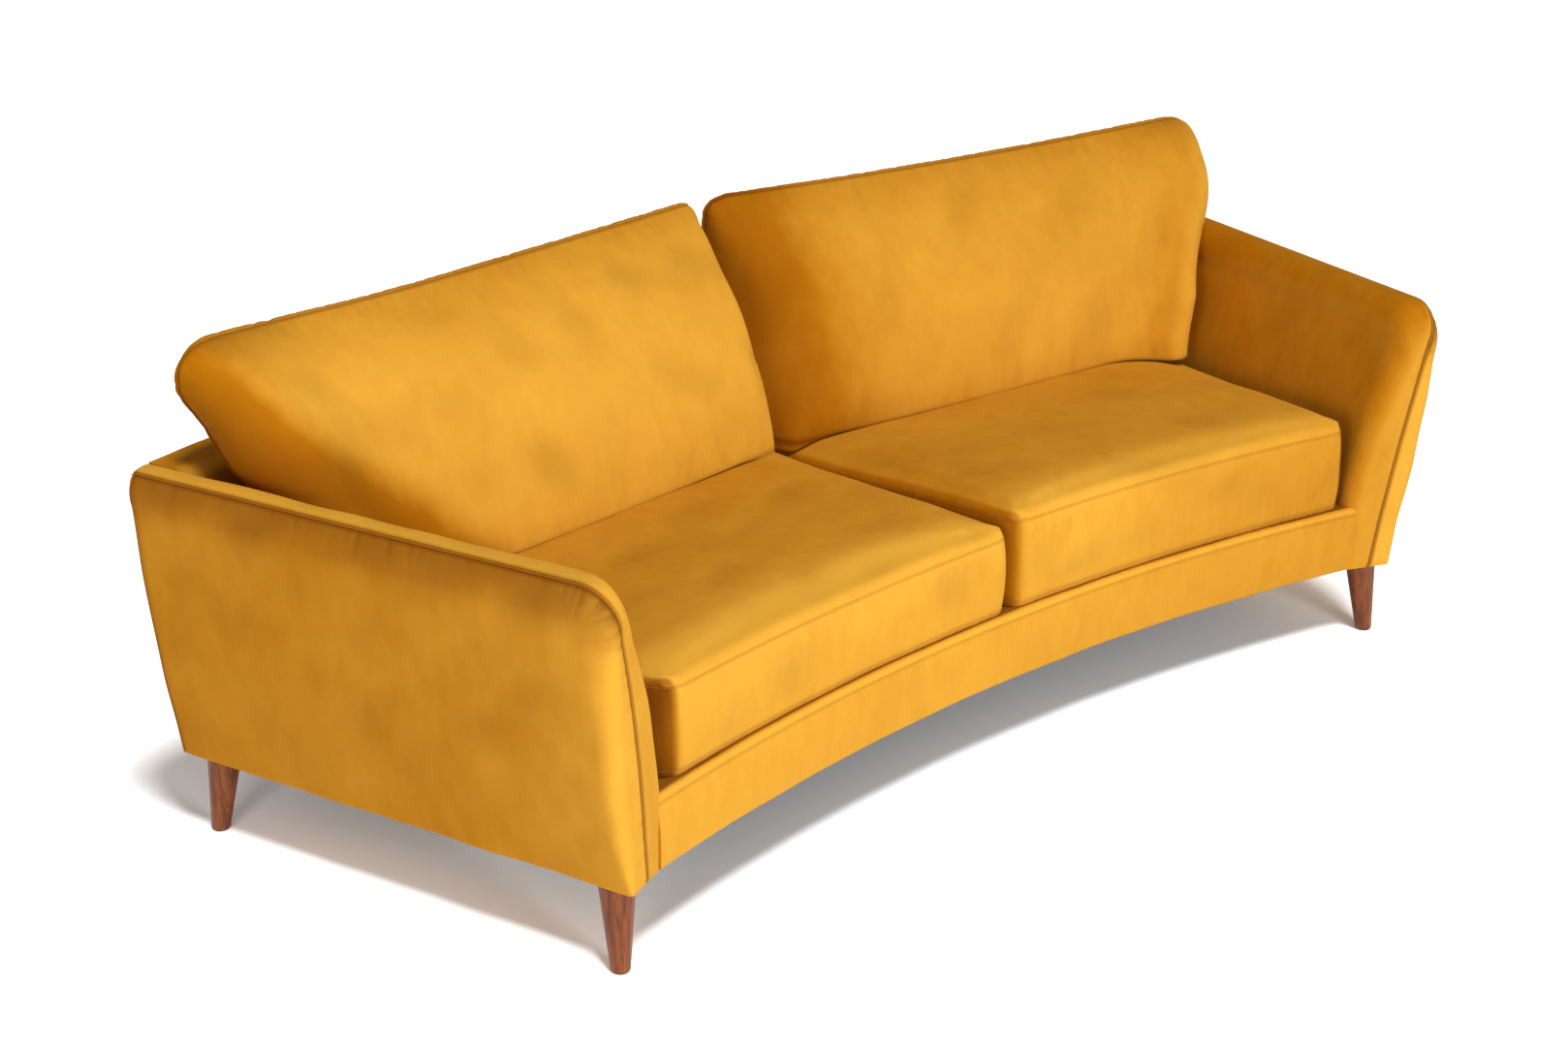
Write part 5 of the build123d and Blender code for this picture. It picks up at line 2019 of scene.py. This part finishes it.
@dataclass
class SeatDeck:
    """The lined deck under the cushions and the stretched dust cover under the sofa."""

    plan: Plan
    arm: Arm
    front: float = 3810.5 * MM
    deck_thickness: float = 8 * MM
    deck_sag: float = 5 * MM
    dust_front: float = 3776 * MM
    dust_rear: float = 4672 * MM
    dust_height: float = 151 * MM
    dust_sag: float = 3 * MM
    dust_thickness: float = 0.8 * MM

    def slab(
        self,
        name: str,
        radii: tuple[float, float],
        top: float,
        thickness: float,
        sag: float,
        across: float,
        finish: Finish,
    ) -> Piece:
        """Make a thin curved slab that sags a little between its edges.

        Args:
            name: The piece's name.
            radii: Front and rear radius.
            top: Height of its upper side.
            thickness: Its thickness.
            sag: How far its middle hangs down.
            across: Side line from the right arm's foot.
            finish: What it is made of.

        Returns:
            The new object.
        """
        shares = np.linspace(0, 1, 90)
        depths = np.linspace(0, 1, 40)
        share, depth = np.meshgrid(shares, depths, indexing="ij")
        radius = radii[0] + (radii[1] - radii[0]) * depth
        limit = self.plan.turn_to_arm(np.full_like(radius, across), radius)
        hang = sag * 16 * share * (1 - share) * depth * (1 - depth)
        upper = self.plan.polar(limit * (2 * share - 1), radius, top - hang)
        lower = upper - np.array([0, 0, thickness])
        points, faces, _ = boxed(upper, lower, 1, 0.0)
        return make_piece(name, points, faces, finish)

    def build(self, stitching: PathTree) -> list[Piece]:
        """Make the deck, the dust cover and the staples round it.

        Args:
            stitching: Tree that sets the staples.

        Returns:
            The pieces.
        """
        rear = float(self.plan.back_face(np.array(self.plan.deck))) - 0.5 * MM
        side = float(self.arm.inner_across(np.array(self.plan.deck)))
        deck = self.slab(
            "seat_deck", (self.front, rear), self.plan.deck, self.deck_thickness, self.deck_sag, side, LINING
        )
        edge = -self.arm.foot_width
        dust = self.slab(
            "dust_cover_cloth",
            (self.dust_front, self.dust_rear),
            self.dust_height,
            self.dust_thickness,
            self.dust_sag,
            edge,
            LINING,
        )
        border = 12 * MM
        level = self.dust_height - self.dust_thickness
        lines = []
        for radius in (self.dust_front + border, self.dust_rear - border):
            limit = float(self.plan.turn_to_arm(np.array(edge - border), np.array(radius)))
            lines.append(Seam(self.plan.polar(np.linspace(-limit, limit, 120), radius, level)))
        staples = stitching.lay("dust_cover_staples", lines, STEEL, STAPLE)
        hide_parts("deck_cloth", "deck_pad")
        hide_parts("dust_cover")
        width = 2 * float(self.plan.turn_to_arm(np.array(edge), np.array(self.dust_rear))) * self.dust_rear
        return [deck, dust, staples]


@dataclass
class TurnedLeg:
    """A tapered, splayed leg turned from beech, on a nail-on glide."""

    plan: Plan
    side: Side
    at_front: bool
    top_radius: float = 30 * MM
    foot_radius: float = 15.5 * MM
    edge: float = 1.6 * MM
    glide: float = 3 * MM
    front_place: tuple[float, float] = (-30 * MM, 3791 * MM)
    rear_place: tuple[float, float] = (-48 * MM, 4609 * MM)
    splay_out: float = 13 * MM
    splay_along: float = 12 * MM
    sides: int = 40
    rows: int = 24

    def axis(self) -> tuple[Points, Points]:
        """Place a right leg by the arm's own lines.

        Returns:
            The middle of its top and of its foot.
        """
        place = self.front_place if self.at_front else self.rear_place
        splay = -self.splay_along if self.at_front else self.splay_along
        top = np.array([*place, self.plan.leg_height])
        return top, top + np.array([self.splay_out, splay, -self.plan.leg_height])

    def build(self) -> list[Piece]:
        """Turn the leg.

        Returns:
            The leg as a list of one piece.
        """
        top, foot = self.axis()
        levels = np.linspace(self.plan.leg_height, self.glide + self.edge, self.rows)
        share = (self.plan.leg_height - levels) / self.plan.leg_height
        radii = self.top_radius + (self.foot_radius - self.top_radius) * share
        ease = np.linspace(0, math.pi / 2, 5)[1:]
        levels = np.concatenate([levels, self.glide + self.edge * (1 - np.sin(ease))])
        radii = np.concatenate([radii, radii[-1] - self.edge * (1 - np.cos(ease))])
        share = (self.plan.leg_height - levels) / self.plan.leg_height
        turns = np.linspace(0, 2 * math.pi, self.sides, endpoint=False)
        middle = top + (foot - top) * share[:, None]
        across = middle[:, :1] + radii[:, None] * np.cos(turns)
        along = middle[:, 1:2] + radii[:, None] * np.sin(turns)
        right = self.plan.by_arm(across, along, np.broadcast_to(levels[:, None], across.shape))
        points = right.reshape(-1, 3)
        faces: list[Any] = quads(len(levels), self.sides, around=True).tolist()
        for first, end in ((0, top), (len(points) - self.sides, foot)):
            level = points[first, 2]
            pole = self.plan.by_arm(end[0], end[1], level).reshape(1, 3)
            ring = first + np.arange(self.sides)
            faces += [[int(one), int(two), len(points)] for one, two in zip(ring, np.roll(ring, -1))]
            points = np.vstack([points, pole])
        place = "front" if self.at_front else "rear"
        label = self.side.label
        piece = make_piece(f"{place}_turned_leg_{label}", self.side.mirrored(points), faces, LEG_WOOD)
        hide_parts(f"{place}_leg_{label}")
        return [piece]


class Studio:
    """Plain pale floor, soft light and the photograph's camera."""

    CAMERA_PLACE = (-3.221, -3.294, 2.168)
    CAMERA_YAW = 42.851
    CAMERA_PITCH = 21.619
    CAMERA_ROLL = 0.109
    LENS = 62.28
    FLOOR_SIZE = 60.0
    WORLD_STRENGTH = 0.165
    FLOOR_COLOUR = "#E8E8E8"
    FLOOR_SHOWN = 1.75
    SUN_PLACE = (-0.7, -2.2, 5.0)
    SUN_ENERGY = 2.1
    SUN_SPREAD = 12.0

    def camera(self) -> None:
        """Stand the camera where the photograph was taken."""
        lens = bpy.data.cameras.new("photo_camera")
        lens.lens = self.LENS
        lens.sensor_fit = "HORIZONTAL"
        lens.sensor_width = 36.0
        lens.clip_end = 200.0
        made = bpy.data.objects.new("photo_camera", lens)
        made.location = self.CAMERA_PLACE
        made.rotation_euler = (
            math.radians(90 - self.CAMERA_PITCH),
            math.radians(self.CAMERA_ROLL),
            math.radians(-self.CAMERA_YAW),
        )
        bpy.context.scene.collection.objects.link(made)
        bpy.context.scene.camera = made

    def seen(self, tree: Tree) -> Socket:
        """Pick out the rays that show the background: to the camera, in gloss and through glass.

        Args:
            tree: Tree of the floor's material or of the world.

        Returns:
            1 for those rays and 0 for the rest.
        """
        path = add(tree, "ShaderNodeLightPath").outputs
        total = path["Is Camera Ray"]
        for name in ("Is Glossy Ray", "Is Transmission Ray"):
            both = {0: total, 1: path[name]}
            total = add(tree, "ShaderNodeMath", both, operation="ADD", use_clamp=True).outputs[0]
        return total

    def floor(self) -> None:
        """Lay a pale floor that keeps the sofa's shadow."""
        half = self.FLOOR_SIZE / 2
        mesh = bpy.data.meshes.new("studio_floor")
        corners = [(-half, -half, 0), (half, -half, 0), (half, half, 0), (-half, half, 0)]
        mesh.from_pydata(corners, [], [(0, 1, 2, 3)])
        paper = bpy.data.materials.new("matt_studio_paper")
        paper.use_nodes = True
        tree = paper.node_tree
        tree.nodes.clear()
        matt = add(tree, "ShaderNodeBsdfDiffuse", {"Color": linear(self.FLOOR_COLOUR)})
        bright = add(tree, "ShaderNodeBsdfDiffuse", {"Color": [self.FLOOR_SHOWN] * 3 + [1.0]})
        shown = add(
            tree,
            "ShaderNodeMixShader",
            {0: self.seen(tree), 1: matt.outputs[0], 2: bright.outputs[0]},
        )
        add(tree, "ShaderNodeOutputMaterial", {"Surface": shown.outputs[0]})
        mesh.materials.append(paper)
        made = bpy.data.objects.new("studio_floor", mesh)
        bpy.context.scene.collection.objects.link(made)

    def light(self) -> None:
        """Hang the soft lamps and set an even white surround."""
        world = bpy.data.worlds.new("white_surround")
        world.use_nodes = True
        tree = world.node_tree
        tree.nodes.clear()
        pure = linear("#FFFFFF")
        plain = add(tree, "ShaderNodeBackground", {"Color": pure, "Strength": self.WORLD_STRENGTH})
        white = add(tree, "ShaderNodeBackground", {"Color": pure, "Strength": 1.0})
        shown = add(
            tree, "ShaderNodeMixShader", {0: self.seen(tree), 1: plain.outputs[0], 2: white.outputs[0]}
        )
        add(tree, "ShaderNodeOutputWorld", {"Surface": shown.outputs[0]})
        bpy.context.scene.world = world
        lamps = {
            "front_softbox": ((-0.7, -5.5, 0.95), (0.0, 0.0, 0.5), 1.7, 150.0),
            "left_softbox": ((-5.0, -2.2, 1.1), (0.0, 0.0, 0.4), 1.8, 80.0),
        }
        for name, (place, aim, size, power) in lamps.items():
            lamp = bpy.data.lights.new(name, "AREA")
            lamp.size = size
            lamp.energy = power
            self.hang(name, lamp, place, aim)
        sky = bpy.data.lights.new("overhead_diffuser", "SUN")
        sky.angle = math.radians(self.SUN_SPREAD)
        sky.energy = self.SUN_ENERGY
        self.hang("overhead_diffuser", sky, self.SUN_PLACE, (0.0, 0.0, 0.0))

    def hang(self, name: str, lamp: bpy.types.Light, place: Sequence[float], aim: Sequence[float]) -> None:
        """Hang a lamp and aim it.

        Args:
            name: The lamp's name.
            lamp: Its light.
            place: Where it hangs.
            aim: The place it points at.
        """
        made = bpy.data.objects.new(name, lamp)
        made.location = place
        run = np.array(aim) - np.array(place)
        flat = math.hypot(run[0], run[1])
        made.rotation_euler = (math.atan2(flat, -run[2]), 0.0, math.atan2(-run[0], run[1]))
        bpy.context.scene.collection.objects.link(made)

    def build(self) -> None:
        """Set the whole stage."""
        self.camera()
        self.floor()
        self.light()
        bpy.context.scene.view_settings.view_transform = "Standard"


def dress_frame() -> None:
    """Give the CAD nodes that stay their real materials."""
    finishes = {
        "arm_board": HARDBOARD,
        "back_rib": PLYWOOD,
        "belt": WEBBING,
        "back_belts": WEBBING,
        "seat_belts": WEBBING,
        "belt_clips": STEEL,
        "arm_bolts": STEEL,
        "leg_bolts": STEEL,
        "leg_inserts": STEEL,
        "leg_glides": GLIDE,
    }
    for name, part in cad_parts.items():
        finish = next((made for start, made in finishes.items() if name.startswith(start)), FRAME_TIMBER)
        if not part.data.materials:
            part.data.materials.append(None)
        for place in part.material_slots:
            place.material = finish.material()


def build_sofa() -> None:
    """Build every piece, set it on its body and report it."""
    logging.basicConfig(level=logging.INFO, format="%(name)s: %(message)s")
    plan = Plan()
    cords = PathTree(PathShape.CORD)
    stitching = PathTree(PathShape.STITCHES)
    dress_frame()
    made: list[tuple[Piece, str, str]] = []
    right_arm = Arm(plan, Side.RIGHT)
    for side in Side:
        made += [(piece, FRAME_BODY, "velvet") for piece in Arm(plan, side).build(cords)]
        seat_body, back_body = f"seat_cushion_{side.label}", f"back_cushion_{side.label}"
        made += [(piece, seat_body, "velvet") for piece in SeatCushion(plan, side).build(stitching)]
        made += [(piece, back_body, "velvet") for piece in BackCushion(plan, side).build(stitching)]
        for at_front in (True, False):
            made += [(piece, FRAME_BODY, "stained_wood") for piece in TurnedLeg(plan, side, at_front).build()]
    made += [(piece, FRAME_BODY, "velvet") for piece in FrontApron(plan, right_arm).build()]
    made += [(piece, FRAME_BODY, "velvet") for piece in PaddedBack(plan, right_arm).build(cords)]
    slots = ("lining_cloth", "lining_cloth", "steel")
    made += [
        (piece, FRAME_BODY, slot)
        for piece, slot in zip(SeatDeck(plan, right_arm).build(stitching), slots)
    ]
    for number, (piece, body, slot) in enumerate(made):
        if slot == "velvet":
            paint_light_and_shade(piece, number)
        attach(piece, body)
        LOG.info("%s rides on %s with %d faces", piece.name, body, len(piece.data.polygons))


def main() -> None:
    """Build the sofa and its stage."""
    build_sofa()
    Studio().build()


if __name__ == "__main__":
    main()
